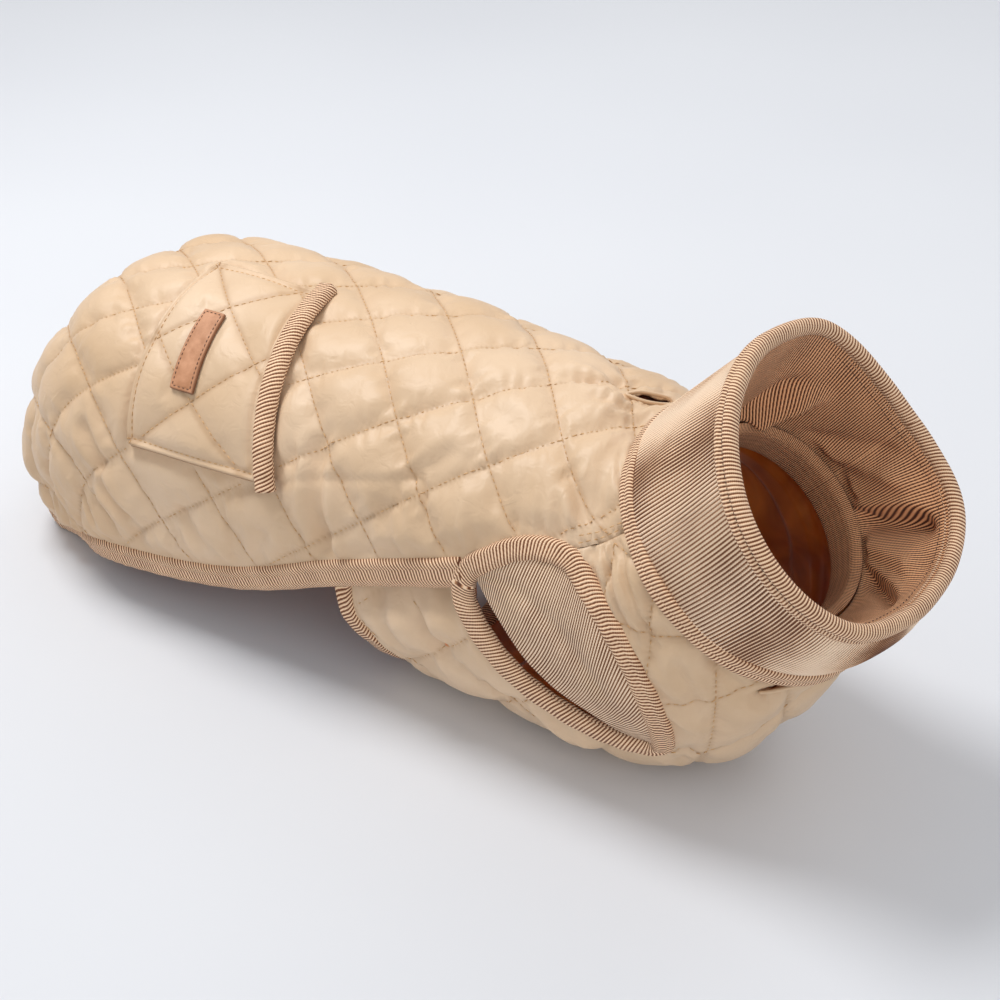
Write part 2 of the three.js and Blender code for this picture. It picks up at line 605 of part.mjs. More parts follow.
// Upright block with round ends that cuts the buttonhole.
function slitCutter() {
  const shape = new THREE.Shape();
  const half = SLIT_LENGTH / 2 - SLIT_WIDTH / 2;
  shape.absarc(half, 0, SLIT_WIDTH / 2, -Math.PI / 2, Math.PI / 2);
  shape.absarc(-half, 0, SLIT_WIDTH / 2, Math.PI / 2, (3 * Math.PI) / 2);
  const geometry = new THREE.ExtrudeGeometry(shape, { depth: SLIT_PLACE.deep, bevelEnabled: false, curveSegments: 5 });
  geometry.deleteAttribute('normal');
  geometry.deleteAttribute('uv');
  geometry.rotateZ(rad(SLIT_PLACE.turn));
  geometry.translate(SLIT_PLACE.x, SLIT_PLACE.y, SLIT_PLACE.z);
  return solid(geometry);
}

const legCuts = [legCutter(-1), legCutter(1)];

function backPanel() {
  const slab = quiltSlab({
    cells: BACK_CELLS,
    rows: [-2, 8],
    sides: [-6, 6],
    shift: BACK_SHIFT,
    place: backQuilt,
    keep: (at) => inBack(at, 10),
    lift: backLift,
    under: () => -4 * WALL,
  });
  const rows = BACK_EDGE.length - 1;
  const region = regionBlock(rows * 2, 22, (f, g) => {
    const k = Math.min(Math.floor(f * rows), rows - 1);
    const u = mix(BACK_EDGE[k].u, BACK_EDGE[k + 1].u, f * rows - k);
    return { u, deg: mix(-1, 1, g) * lookup(BACK_EDGE, 'u', 'deg', u) };
  });
  return fromSolid(trimmed(slab.intersect(region).subtract(core(WALL)), [...legCuts, slitCutter()]));
}

// What is left of a panel after its cuts: its largest piece, without the trimmings.
function trimmed(panel, cuts) {
  let left = panel;
  for (const cut of cuts) left = left.subtract(cut);
  const pieces = left.decompose().sort((a, b) => b.volume() - a.volume());
  return pieces[0];
}

// A place across the chest panel, from its right upper edge under the belly to its left one.
function chestPlace(f, g) {
  const guess = mix(CHEST_EDGE[0].u, NECK_END, f);
  const edge = lookup(CHEST_EDGE, 'u', 'deg', guess);
  const deg = mix(edge, 360 - edge, g);
  const folded = deg > 180 ? 360 - deg : deg;
  const rear = lookup(BELLY_REAR, 'deg', 'u', folded);
  return { u: mix(rear, NECK_END, f), deg };
}

function chestPanel() {
  const slab = quiltSlab({
    cells: CHEST_CELLS,
    rows: [-1, 6],
    sides: [-5, 5],
    shift: 0,
    place: chestQuilt,
    keep: (at) => at.u > 5.9 && at.u < 11.2 && Math.abs(at.deg) > lookup(CHEST_EDGE, 'u', 'deg', at.u) - 12,
    lift: chestLift,
    under: (at) => chestDip(at.u, at.deg) - WALL,
  });
  return fromSolid(trimmed(slab.intersect(regionBlock(24, CHEST_COLUMNS, chestPlace)), legCuts));
}

// Places along the back panel's hem, from the right leg opening round the tail to the left one.
function hemLine() {
  const right = [];
  for (let k = BACK_EDGE.length - 2; k >= 0; k -= 1) {
    for (const f of [0.5, 0]) {
      const u = mix(BACK_EDGE[k].u, BACK_EDGE[k + 1].u, f);
      if (u <= HEM_END) right.push({ u, deg: -lookup(BACK_EDGE, 'u', 'deg', u) });
    }
  }
  return [...right, ...right.map((p) => ({ u: p.u, deg: -p.deg })).reverse()];
}

function bellyLine() {
  return Array.from({ length: CHEST_COLUMNS + 1 }, (_, k) => chestPlace(0, k / CHEST_COLUMNS));
}

// The rib gusset lies between the leg opening's front binding and its own free edge.
function gusset(side) {
  const steps = 18;
  const across = 2;
  const inner = moveLine(legOutline(side), -side * (LEG_BINDING_WIDTH + 2 * SEAM), true);
  const curve = (list) => new THREE.CatmullRomCurve3(list.map((p) => new THREE.Vector3(p.u * STATION, p.deg, 0)));
  const front = curve(inner.slice(GUSSET_SPAN.first, GUSSET_SPAN.last + 1));
  const free = curve(GUSSET_EDGE.map((p) => ({ u: p.u, deg: side * p.deg })));
  const place = (f, g) => {
    const [a, b] = [front.getPointAt(f), free.getPointAt(f)];
    return { u: mix(a.x, b.x, g) / STATION, deg: mix(a.y, b.y, g) };
  };
  const grid = (lift) => clothGrid(steps, across, (f, g) => {
    const at = place(f, g);
    return { ...at, lift: lift(f, g) };
  });
  return wall(grid(() => 1), grid(() => 1 - KNIT));
}

// Ring part-way along the collar, by a Lagrange curve through its three rings.
function collarRing(rings, f) {
  const weight = [2 * (f - 0.5) * (f - 1), -4 * f * (f - 1), 2 * f * (f - 0.5)];
  const out = {};
  for (const key of ['x', 'z', 'tilt', 'radius']) {
    out[key] = rings.reduce((sum, ring, k) => sum + ring[key] * weight[k], 0);
  }
  return out;
}

// Point on a collar ring: angle from the dog's left, at a radius, moved along the ring's axis.
function collarPoint(ring, angle, radius, along = 0) {
  const tilt = rad(ring.tilt);
  const high = Math.sin(angle) * radius;
  return new THREE.Vector3(
    ring.x - Math.sin(tilt) * high + Math.cos(tilt) * along,
    Math.cos(angle) * radius,
    ring.z + Math.cos(tilt) * high + Math.sin(tilt) * along);
}

function collarGrid(rings, { from, to, rows, columns, radius }) {
  return Array.from({ length: rows + 1 }, (_, i) => {
    const ring = collarRing(rings, mix(from, to, i / rows));
    return Array.from({ length: columns }, (__, j) => (
      collarPoint(ring, (2 * Math.PI * j) / columns, radius(ring, j))));
  });
}

function slid(ring, along) {
  const tilt = rad(ring.tilt);
  return { ...ring, x: ring.x + Math.cos(tilt) * along, z: ring.z + Math.sin(tilt) * along };
}

// Turned-down outside of the collar, ribs raised on its outer face.
function collarCuff() {
  const rings = [slid(CUFF[0], -RIM.depth - SEAM), CUFF[1], slid(CUFF[2], CUFF_HEM.depth + SEAM)];
  const span = { from: 0, to: 1, rows: 1 };
  const outer = collarGrid(rings, {
    ...span, columns: 2 * COLLAR_RIBS, radius: (ring, j) => ring.radius + (j % 2) * RIB_HEIGHT,
  });
  const inner = collarGrid(rings, { ...span, columns: 40, radius: (ring) => ring.radius - KNIT });
  return wall(outer, inner, true);
}

function collarFunnel() {
  const rings = [FUNNEL[0], FUNNEL[1], slid(FUNNEL[2], -RIM.depth - SEAM)];
  const span = { from: 0, to: 1, rows: 4, columns: 36 };
  const outer = collarGrid(rings, { ...span, radius: (ring) => ring.radius });
  const inner = collarGrid(rings, { ...span, radius: (ring) => ring.radius - KNIT });
  return wall(outer, inner, true);
}

// Band that follows a collar ring: its section is a list of radius and distance along the axis.
function collarBand(ring, section, columns = 44) {
  const rings = Array.from({ length: columns }, (_, k) => section.map((corner) => (
    collarPoint(ring, (2 * Math.PI * k) / columns, corner.radius, corner.along))));
  return bar(rings, true);
}

function rimSection() {
  const { depth, outer, inner } = RIM;
  const edge = 0.5;
  return [
    { radius: outer - edge, along: -depth }, { radius: outer, along: -depth * 0.4 },
    { radius: outer - 2.2, along: 0 }, { radius: inner + 2.2, along: 0 },
    { radius: inner, along: -depth * 0.4 }, { radius: inner + edge, along: -depth },
  ];
}

function cuffHemSection() {
  const { depth, outer, inner } = CUFF_HEM;
  return [
    { radius: inner, along: 0 }, { radius: outer - 1, along: -0.6 }, { radius: outer, along: depth * 0.5 },
    { radius: outer - 0.6, along: depth }, { radius: inner, along: depth },
  ];
}

function neckRingSection() {
  const { length, outer, wall: thick, flare } = NECK_RING;
  const wide = FUNNEL[0].radius - KNIT - SEAM;
  return [
    { radius: wide, along: flare }, { radius: wide, along: 0.4 },
    { radius: outer, along: -0.8 }, { radius: outer, along: -length },
    { radius: outer - thick, along: -length }, { radius: outer - thick, along: -0.4 },
    { radius: wide - thick, along: flare },
  ];
}

function lining() {
  const rows = 7;
  const columns = 24;
  const grid = (lift) => Array.from({ length: rows + 1 }, (_, i) => Array.from({ length: columns }, (__, j) => {
    const u = mix(LINING_SPAN.from, LINING_SPAN.to, i / rows);
    return lifted(u, (360 * j) / columns - 180, lift);
  }));
  const top = -WALL - 1;
  return fromSolid(trimmed(solid(wall(grid(top), grid(top - LINING), true)), legCuts));
}

// Place on the cloth for a share of the pocket's width and height.
function pocketCloth(along, across) {
  const rear = mix(POCKET.rear[0].u, POCKET.rear[1].u, across);
  const front = mix(POCKET.front[0].u, POCKET.front[1].u, across);
  return { u: mix(rear, front, along), deg: POCKET_TOP + POCKET_DEEP * across };
}

function onLabel(along, across, margin) {
  const aside = Math.abs(along - LABEL.along) < LABEL.half + margin;
  return aside && across > LABEL.top - margin && across < LABEL.bottom + margin;
}

function pocketTop(along, across) {
  const a = (along - POCKET_CROSSING.along) / POCKET_QUILT.along;
  const c = (across - POCKET_CROSSING.across) / POCKET_QUILT.across;
  const edge = smooth(Math.min(along, 1 - along, across, 1 - across) / 0.1);
  const rise = onLabel(along, across, 0.085) ? 0 : POCKET_PUFF * edge * pillow(a - c, a + c);
  return POCKET_LIFT + POCKET_WALL + rise;
}

function pocketPanel() {
  const outer = clothGrid(12, 16, (f, g) => ({ ...pocketCloth(f, g), lift: pocketTop(f, g) }));
  const inner = clothGrid(6, 8, (f, g) => ({ ...pocketCloth(f, g), lift: POCKET_LIFT }));
  return wall(outer, inner);
}

function pocketRoll() {
  const line = Array.from({ length: 15 }, (_, k) => pocketCloth(1, mix(-0.02, 1.03, k / 14)));
  return bindingBar(line, {
    near: SEAM, width: POCKET_ROLL.width, low: POCKET_ROLL.low, high: POCKET_ROLL.high, way: -1,
  });
}

function label() {
  const place = (f, g, lift) => ({
    ...pocketCloth(LABEL.along + (2 * f - 1) * LABEL.half, mix(LABEL.top, LABEL.bottom, g)), lift,
  });
  const low = POCKET_LIFT + POCKET_WALL + 0.5;
  return wall(
    clothGrid(2, 6, (f, g) => place(f, g, low + LABEL_THICK)), clothGrid(2, 6, (f, g) => place(f, g, low)));
}

const coat = new THREE.Group();
function add(name, geometry, color, roughness = 0.92) {
  const mesh = new THREE.Mesh(geometry, new THREE.MeshStandardMaterial({ color, roughness, metalness: 0 }));
  mesh.name = name;
  coat.add(mesh);
}

const edgeLift = { low: -WALL - BINDING_PROUD, high: BINDING_PROUD };
add('back_panel', backPanel(), QUILT_COLOUR, 0.55);
add('chest_panel', chestPanel(), QUILT_COLOUR, 0.55);
add('lining', lining(), LINING_COLOUR, 0.45);
add('hem_binding', bindingBar(hemLine(), { near: SEAM + 0.5, width: HEM_WIDTH, ...edgeLift, way: -1 }), RIB_COLOUR);
add('belly_binding', bindingBar(bellyLine(), {
  near: SEAM, width: BELLY_BINDING_WIDTH, ...edgeLift, way: -1, dip: chestDip,
}), RIB_COLOUR);
for (const [name, side] of [['R', -1], ['L', 1]]) {
  add(`leg_binding_${name}`, bindingBar(legOutline(side), {
    near: SEAM, width: LEG_BINDING_WIDTH, ...edgeLift, way: -side, closed: true,
  }), RIB_COLOUR);
  add(`leg_gusset_${name}`, gusset(side), RIB_COLOUR);
}
add('pocket_panel', pocketPanel(), QUILT_COLOUR, 0.55);
add('pocket_roll', pocketRoll(), RIB_COLOUR);
add('label', label(), LABEL_COLOUR, 0.6);
add('collar_cuff', collarCuff(), RIB_COLOUR);
add('collar_funnel', collarFunnel(), RIB_COLOUR);
add('collar_rim', collarBand(CUFF[0], rimSection()), RIB_COLOUR);
add('collar_hem', collarBand(CUFF[2], cuffHemSection()), RIB_COLOUR);
add('neck_ring', collarBand(FUNNEL[0], neckRingSection(), 24), RIB_COLOUR);

// The part's origin is the middle of its box, on the floor.
const box = new THREE.Box3().setFromObject(coat);
const middle = box.getCenter(new THREE.Vector3());
coat.position.set(-middle.x, -middle.y, -box.min.z);

export default coat;
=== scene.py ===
"""Dresses the quilted dog coat: satin panels, rib knit, thread, lining and a leather label.

The coat is filled out as if worn and lies on its belly. Sizes are in millimetres on the body's
own axes, and one function moves them to the frame in metres.
"""

import logging
import math
from collections.abc import Callable, Sequence
from dataclasses import dataclass, field
from enum import Enum

import bmesh
import bpy
import numpy as np
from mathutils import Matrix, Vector

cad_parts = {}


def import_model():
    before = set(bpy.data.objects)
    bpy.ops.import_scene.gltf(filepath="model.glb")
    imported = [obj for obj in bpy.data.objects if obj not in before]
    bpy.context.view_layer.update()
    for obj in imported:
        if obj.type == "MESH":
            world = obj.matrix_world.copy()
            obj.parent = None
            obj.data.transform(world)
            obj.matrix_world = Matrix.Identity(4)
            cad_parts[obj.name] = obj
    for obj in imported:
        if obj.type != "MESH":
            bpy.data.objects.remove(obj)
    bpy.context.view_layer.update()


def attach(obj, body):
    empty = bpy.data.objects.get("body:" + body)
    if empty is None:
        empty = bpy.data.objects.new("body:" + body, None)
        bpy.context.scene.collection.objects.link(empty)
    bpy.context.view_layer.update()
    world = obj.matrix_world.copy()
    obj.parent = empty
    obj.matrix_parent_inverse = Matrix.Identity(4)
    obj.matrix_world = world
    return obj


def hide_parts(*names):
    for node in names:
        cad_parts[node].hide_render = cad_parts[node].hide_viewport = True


log = logging.getLogger("coat")

SHIFT = np.array([-278.325, -0.414, 0.0])
MILLIMETRE = 0.001
STATION = 60.0
DEGREE = 1.5
WALL = 2.5
TUCK = WALL + 5.2
BODY_MIDDLE = 85.0
NO_LIMIT = 99.0
LEFT_SIDE = 1
RIGHT_SIDE = -1
Array = np.ndarray
Placing = Callable[[Array, Array], tuple[Array, Array]]

# Tail to neck: top x and z, base x and z, half width, height share of the widest place, and
# how square the upper and the lower half are.
SECTIONS = np.array([
    (22, 0, 76, 0, 66, 0.5, 2.2, 3), (17, 52, 92, 2, 79, 0.5, 2.3, 3.6),
    (36, 113, 108, 1, 90, 0.45, 2.4, 4), (75, 151, 126, 1, 96, 0.43, 2.4, 4),
    (131, 163, 150, 1, 95, 0.43, 2.3, 3.8), (197, 168, 205, 0, 90, 0.45, 2.3, 3),
    (266, 171, 268, -0.5, 84, 0.48, 2.3, 2.4), (338, 171, 342, -0.5, 80, 0.5, 2.2, 2.3),
    (380, 169, 425, 1, 79, 0.5, 2.1, 2.2), (394, 167, 472, 24, 75, 0.5, 2, 2.1),
    (404, 166, 504, 80, 66, 0.5, 2, 2), (429, 174, 505, 104, 52, 0.5, 2, 2),
], dtype=float)

BACK_EDGE = np.array([
    (0.2, 12), (0.23, 34), (0.29, 60), (0.42, 88), (0.7, 106), (1, 115), (1.5, 119), (2, 120),
    (2.5, 120), (3, 119), (3.7, 118), (4.4, 115.5), (5, 110.5), (5.5, 103.5), (6, 94),
    (6.4, 87), (6.8, 80), (7.15, 74), (7.35, 72), (7.6, 70), (8.1, 66), (8.3, 62),
    (8.55, 55.8), (9, 54.8), (9.5, 55), (10, 55.8), (10.98, 57),
])
CHEST_EDGE = np.array([
    (6.12, 78), (6.5, 70), (6.8, 69), (7, 73), (7.2, 82), (7.4, 86), (7.8, 88), (8.1, 80),
    (8.3, 70), (8.55, 56.1), (9, 55.1), (9.5, 55.3), (10, 56.1), (10.98, 57.3),
])
BELLY_REAR = np.array([(60, 6.12), (105, 6.12), (125, 6.3), (180, 6.42)])
LEG_OPENING = np.array([
    (7.13, 79), (7.2, 73), (7.37, 67), (7.6, 61), (7.9, 57.2), (8.3, 56.8), (8.7, 60.5),
    (8.96, 68), (9.17, 80), (9.24, 97), (9.13, 114), (8.99, 125), (8.76, 133), (8.35, 128),
    (7.87, 118), (7.5, 109), (7.24, 96), (7.13, 86),
])
GUSSET_EDGE = np.array([(7.3, 77), (7.5, 88), (7.7, 98), (7.95, 105.5), (8.28, 114), (8.66, 126)])


def smooth(value: Array | float) -> Array:
    """Eases a value from 0 to 1."""
    v = np.clip(value, 0, 1)
    return v * v * (3 - 2 * v)


def mix(a: Array | float, b: Array | float, share: Array | float) -> Array:
    """Goes from a to b by a share."""
    return a + (b - a) * share


def chance(x: Array, y: Array | float, seed: float) -> Array:
    """Gives a fixed random value from -1 to 1 for each whole place.

    Args:
        x: First whole number of the place.
        y: Second whole number of the place.
        seed: Chooses one field of values among many.

    Returns:
        One value for each place.
    """
    value = np.sin(x * 127.1 + y * 311.7 + seed * 74.7) * 43758.5453
    return 2 * (value - np.floor(value)) - 1


def waver(x: Array, y: Array | float, seed: float) -> Array:
    """Gives smooth random heights from -1 to 1, one bump for each unit of x and y.

    Args:
        x: First coordinates.
        y: Second coordinates.
        seed: Chooses one field of values among many.

    Returns:
        Heights from -1 to 1.
    """
    y = np.broadcast_to(y, np.shape(x))
    x0, y0 = np.floor(x), np.floor(y)
    fx, fy = smooth(x - x0), smooth(y - y0)
    low = mix(chance(x0, y0, seed), chance(x0 + 1, y0, seed), fx)
    high = mix(chance(x0, y0 + 1, seed), chance(x0 + 1, y0 + 1, seed), fx)
    return mix(low, high, fy)


def lengths(points: Array) -> Array:
    """Measures the way along a line to each of its points."""
    gaps = np.linalg.norm(np.diff(points, axis=0), axis=1)
    return np.concatenate([[0], np.cumsum(gaps)])


def stretches(show: Array, least: int) -> list[Array]:
    """Finds the unbroken stretches of places that show.

    Args:
        show: Whether each place along a line shows.
        least: A stretch has more places than this.

    Returns:
        The numbers of the places in each stretch.
    """
    cuts = np.where(np.diff(show.astype(int)))[0] + 1
    return [part for part in np.split(np.arange(len(show)), cuts)
            if show[part[0]] and len(part) > least]


def to_row(points: Array) -> Array:
    """Moves points from the body's millimetres to the frame's metres."""
    return (points + SHIFT) * MILLIMETRE


def unit(vectors: Array) -> Array:
    """Scales each vector to length 1."""
    return vectors / np.maximum(np.linalg.norm(vectors, axis=-1, keepdims=True), 1e-9)


def rounded_line(points: Array, count: int, closed: bool = False, power: float = 0.5) -> Array:
    """Draws an even smooth curve through places on the cloth.

    Args:
        points: Places as station and degrees.
        count: How many places the curve gets.
        closed: Whether it joins up.
        power: 0.5 spaces the knots as a centripetal spline.

    Returns:
        Places along the curve, evenly spaced.
    """
    p = points * (STATION, 1.0)
    if closed:
        p = np.concatenate([p[-2:], p, p[:3]])
    else:
        p = np.concatenate([[2 * p[0] - p[1]], p, [2 * p[-1] - p[-2]]])
    knots = np.concatenate([[0], np.cumsum(np.linalg.norm(np.diff(p, axis=0), axis=1) ** power)])
    out = []
    first, last = (2, len(p) - 3) if closed else (1, len(p) - 2)
    for k in range(first, last):
        t0, t1, t2, t3 = knots[k - 1:k + 3]
        t = np.linspace(t1, t2, 24, endpoint=False)[:, None]
        a1 = (t1 - t) / (t1 - t0) * p[k - 1] + (t - t0) / (t1 - t0) * p[k]
        a2 = (t2 - t) / (t2 - t1) * p[k] + (t - t1) / (t2 - t1) * p[k + 1]
        a3 = (t3 - t) / (t3 - t2) * p[k + 1] + (t - t2) / (t3 - t2) * p[k + 2]
        b1 = (t2 - t) / (t2 - t0) * a1 + (t - t0) / (t2 - t0) * a2
        b2 = (t3 - t) / (t3 - t1) * a2 + (t - t1) / (t3 - t1) * a3
        out.append((t2 - t) / (t2 - t1) * b1 + (t - t1) / (t2 - t1) * b2)
    curve = np.concatenate(out + [p[last][None]])
    gaps = np.linalg.norm(np.diff(curve, axis=0) * (1, DEGREE), axis=1)
    along = np.concatenate([[0], np.cumsum(gaps)])
    at = np.linspace(0, along[-1], count, endpoint=not closed)
    return np.stack([np.interp(at, along, curve[:, 0]) / STATION,
                     np.interp(at, along, curve[:, 1])], 1)


@dataclass
class BodyForm:
    """The filled-out body that the cloth lies on, as stations from tail to neck."""

    steps: int = 20
    spine_side: float = 25.0
    belly_side: float = 115.0

    def __post_init__(self) -> None:
        """Measures arc lengths along and round the body."""
        self.last = len(SECTIONS) - 1
        self.grid = np.arange(0, self.last * self.steps + 1) / self.steps
        self.beside_spine = self.arc_along(self.spine_side)
        self.beside_belly = self.arc_along(self.belly_side)
        degrees = np.arange(0, 181, 2.0)
        u, d = np.meshgrid(self.grid, degrees, indexing="ij")
        ring = self.points(u.ravel(), d.ravel()).reshape(len(self.grid), len(degrees), 3)
        gaps = np.linalg.norm(np.diff(ring, axis=1), axis=2)
        self.round = np.concatenate([np.zeros((len(self.grid), 1)), np.cumsum(gaps, 1)], 1)
        self.degrees = degrees

    def arc_along(self, deg: float) -> Array:
        """Measures arc lengths along the body on a line at some degrees from the spine."""
        p = self.points(self.grid, np.full(len(self.grid), deg))
        return lengths(p)

    def rows(self, u: Array) -> Array:
        """Gives the section at each station, by a spline through the table.

        Args:
            u: Stations.

        Returns:
            One row of the table for each station.
        """
        k = np.clip(np.floor(u).astype(int), 0, self.last - 1)
        f = (u - k)[:, None]
        p = [SECTIONS[np.clip(k + step, 0, self.last)] for step in (-1, 0, 1, 2)]
        curve = 0.5 * (2 * p[1] + (p[2] - p[0]) * f
                       + (2 * p[0] - 5 * p[1] + 4 * p[2] - p[3]) * f ** 2
                       + (3 * p[1] - p[0] - 3 * p[2] + p[3]) * f ** 3)
        before = p[1] + (p[2] - p[1]) * f
        after = p[2] + (p[2] - p[1]) * (f - 1)
        return np.where(f < 0, before, np.where(f > 1, after, curve))

    def points(self, u: Array, deg: Array) -> Array:
        """Gives the body's surface in millimetres at stations and degrees from the spine.

        Args:
            u: Stations.
            deg: Degrees from the spine.

        Returns:
            Points in millimetres.
        """
        r = self.rows(u)
        c, s = np.cos(np.radians(deg)), np.sin(np.radians(deg))
        n = np.where(c >= 0, r[:, 6], r[:, 7])
        reach = (np.abs(c) ** n + np.abs(s) ** n) ** (-1 / n)
        height = reach * c
        share = np.where(c >= 0, r[:, 5] + (1 - r[:, 5]) * height, r[:, 5] + r[:, 5] * height)
        return np.stack([mix(r[:, 2], r[:, 0], share), reach * s * r[:, 4],
                         mix(r[:, 3], r[:, 1], share)], 1)

    def normals(self, u: Array, deg: Array) -> Array:
        """Gives the outward direction of the surface.

        Args:
            u: Stations.
            deg: Degrees from the spine.

        Returns:
            Unit vectors.
        """
        along = self.points(u + 0.02, deg) - self.points(u - 0.02, deg)
        across = self.points(u, deg + 0.5) - self.points(u, deg - 0.5)
        return unit(np.cross(along, across))

    def lifted(self, u: Array, deg: Array, lift: Array | float) -> Array:
        """Gives cloth points at a height over the body, never below the floor.

        Args:
            u: Stations.
            deg: Degrees from the spine.
            lift: Heights over the body.

        Returns:
            Points in millimetres.
        """
        height = np.broadcast_to(lift, np.shape(u))[:, None]
        points = self.points(u, deg) + self.normals(u, deg) * height
        points[:, 2] = np.maximum(points[:, 2], 0)
        return points

    def station(self, table: Array, s: Array) -> Array:
        """Finds the station at an arc length, carried on past both ends.

        Args:
            table: Arc lengths at the grid of stations.
            s: Arc lengths.

        Returns:
            Stations.
        """
        u = np.interp(s, table, self.grid)
        over = (s - table[-1]) / (table[-1] - table[-1 - self.steps])
        return np.where(s < 0, s / table[self.steps], np.where(s > table[-1], self.last + over, u))

    def turned(self, u: Array, t: Array) -> Array:
        """Finds the degrees at a distance round the body from the spine.

        Args:
            u: Stations.
            t: Distances round the body.

        Returns:
            Degrees from the spine.
        """
        place = np.clip(u * self.steps, 0, len(self.grid) - 1)
        low = np.minimum(np.floor(place).astype(int), len(self.grid) - 2)
        out = np.empty_like(t)
        for k in np.unique(low):
            here = low == k
            a = np.interp(np.abs(t[here]), self.round[k], self.degrees)
            b = np.interp(np.abs(t[here]), self.round[k + 1], self.degrees)
            out[here] = mix(a, b, place[here] - k)
        return out * np.sign(t)

    def girth(self, u: Array) -> Array:
        """Gives half the way round the body."""
        return np.interp(u, self.grid, self.round[:, -1])


@dataclass
class Places:
    """Places on the cloth: station, degrees from the spine, arc length and quilt row and side."""

    u: Array
    deg: Array
    s: Array
    row: Array
    side: Array


@dataclass
class BackQuilt:
    """The diamond lattice of the back panel, which follows the body."""

    form: BodyForm
    cells: int = 30
    rows: tuple[int, int] = (-2, 8)
    sides: tuple[int, int] = (-6, 6)
    shift: float = 0.35
    pinch: float = 2.9

    def at(self, row: Array, side: Array) -> Places:
        """Places lattice points: row counts diamonds from the tail, side from a crossing.

        Args:
            row: Rows of the lattice.
            side: Columns of the lattice.

        Returns:
            The places.
        """
        n = (row - 4) / 3
        v = (side - self.shift) / 2
        s = 357 + 173 * n - 15 * n * n + (5.5 * n - 4.5) * v * v
        t = v * (98 + 12 * n - 1.7 * n * n) + 3.3 * v ** 3
        u = self.form.station(self.form.beside_spine, s)
        return Places(u, -self.form.turned(u, t), s, row, side - self.shift)


@dataclass
class ChestQuilt:
    """The diamond lattice of the chest panel, counted from the middle of the belly."""

    form: BodyForm
    cells: int = 27
    rows: tuple[int, int] = (-1, 6)
    sides: tuple[int, int] = (-5, 5)
    shift: float = 0.0
    pinch: float = 2.9
    long: float = 58.0
    wide: float = 52.0

    def __post_init__(self) -> None:
        """Measures where the lattice starts and how wide the belly is."""
        self.start = np.interp(6.2, self.form.grid, self.form.beside_belly)
        self.widest = self.form.girth(np.array([7.0]))[0]

    def at(self, row: Array, side: Array) -> Places:
        """Places lattice points, with degrees from 0 to 360 so that the belly is whole.

        Args:
            row: Rows of the lattice.
            side: Columns of the lattice.

        Returns:
            The places.
        """
        s = self.start + row * self.long
        u = self.form.station(self.form.beside_belly, s)
        t = self.form.girth(u) * (1 - np.abs(side) * self.wide / self.widest)
        deg = self.form.turned(u, np.maximum(t, 0))
        return Places(u, np.where(side < 0, 360 - deg, deg), s, row, side)


class Outline:
    """Closed cut edge of a panel, in flat millimetres on the cloth."""

    def __init__(self, places: Array) -> None:
        """Keeps the outline's corners, given as station and degrees."""
        self.corners = places * (STATION, DEGREE)

    def probe(self, u: Array, deg: Array) -> tuple[Array, Array]:
        """Measures how far places lie inside the outline.

        Args:
            u: Stations.
            deg: Degrees.

        Returns:
            The distance to the edge, plus inside, and the nearest place on it.
        """
        flat = np.stack([u * STATION, deg * DEGREE], 1)
        a = self.corners
        b = np.roll(a, -1, axis=0)
        edge = b - a
        square = np.maximum((edge ** 2).sum(1), 1e-9)
        distance = np.empty(len(flat))
        nearest = np.empty_like(flat)
        for start in range(0, len(flat), 4000):
            p = flat[start:start + 4000, None, :]
            share = np.clip(((p - a) * edge).sum(2) / square, 0, 1)
            close = a + share[..., None] * edge
            gap = np.linalg.norm(p - close, axis=2)
            k = gap.argmin(1)
            index = np.arange(len(k))
            crossing = (a[:, 1] > p[..., 1]) != (b[:, 1] > p[..., 1])
            rise = np.where(np.abs(edge[:, 1]) < 1e-9, 1e-9, edge[:, 1])
            at = a[:, 0] + (p[..., 1] - a[:, 1]) * edge[:, 0] / rise
            inside = (crossing & (p[..., 0] < at)).sum(1) % 2 == 1
            distance[start:start + 4000] = np.where(inside, 1, -1) * gap[index, k]
            nearest[start:start + 4000] = close[index, k]
        return distance, nearest / (STATION, DEGREE)


def leg_line(side: int, count: int = 150) -> Array:
    """Gives the cut edge of a leg opening as a smooth closed line of places."""
    return rounded_line(LEG_OPENING, count, closed=True) * (1, side)


def back_edge(u: Array) -> Array:
    """Gives the degrees of the back panel's edge."""
    return np.interp(u, BACK_EDGE[:, 0], BACK_EDGE[:, 1])


def belly_edge(count: int) -> Array:
    """Gives the belly's rear edge, from its left end under the belly to its right end.

    Args:
        count: How many places it gets.

    Returns:
        Places as station and degrees.
    """
    deg = np.linspace(78, 282, count)
    folded = np.where(deg > 180, 360 - deg, deg)
    return np.stack([np.interp(folded, BELLY_REAR[:, 0], BELLY_REAR[:, 1]), deg], 1)


# ---- colours and node helpers


def linear(colour: str) -> tuple[float, float, float, float]:
    """Turns an sRGB hex colour into linear values.

    Args:
        colour: The colour, as a hash and six digits.

    Returns:
        Red, green, blue and alpha.
    """
    parts = [int(colour[k:k + 2], 16) / 255 for k in (1, 3, 5)]
    out = [v / 12.92 if v <= 0.04045 else ((v + 0.055) / 1.055) ** 2.4 for v in parts]
    return (*out, 1.0)


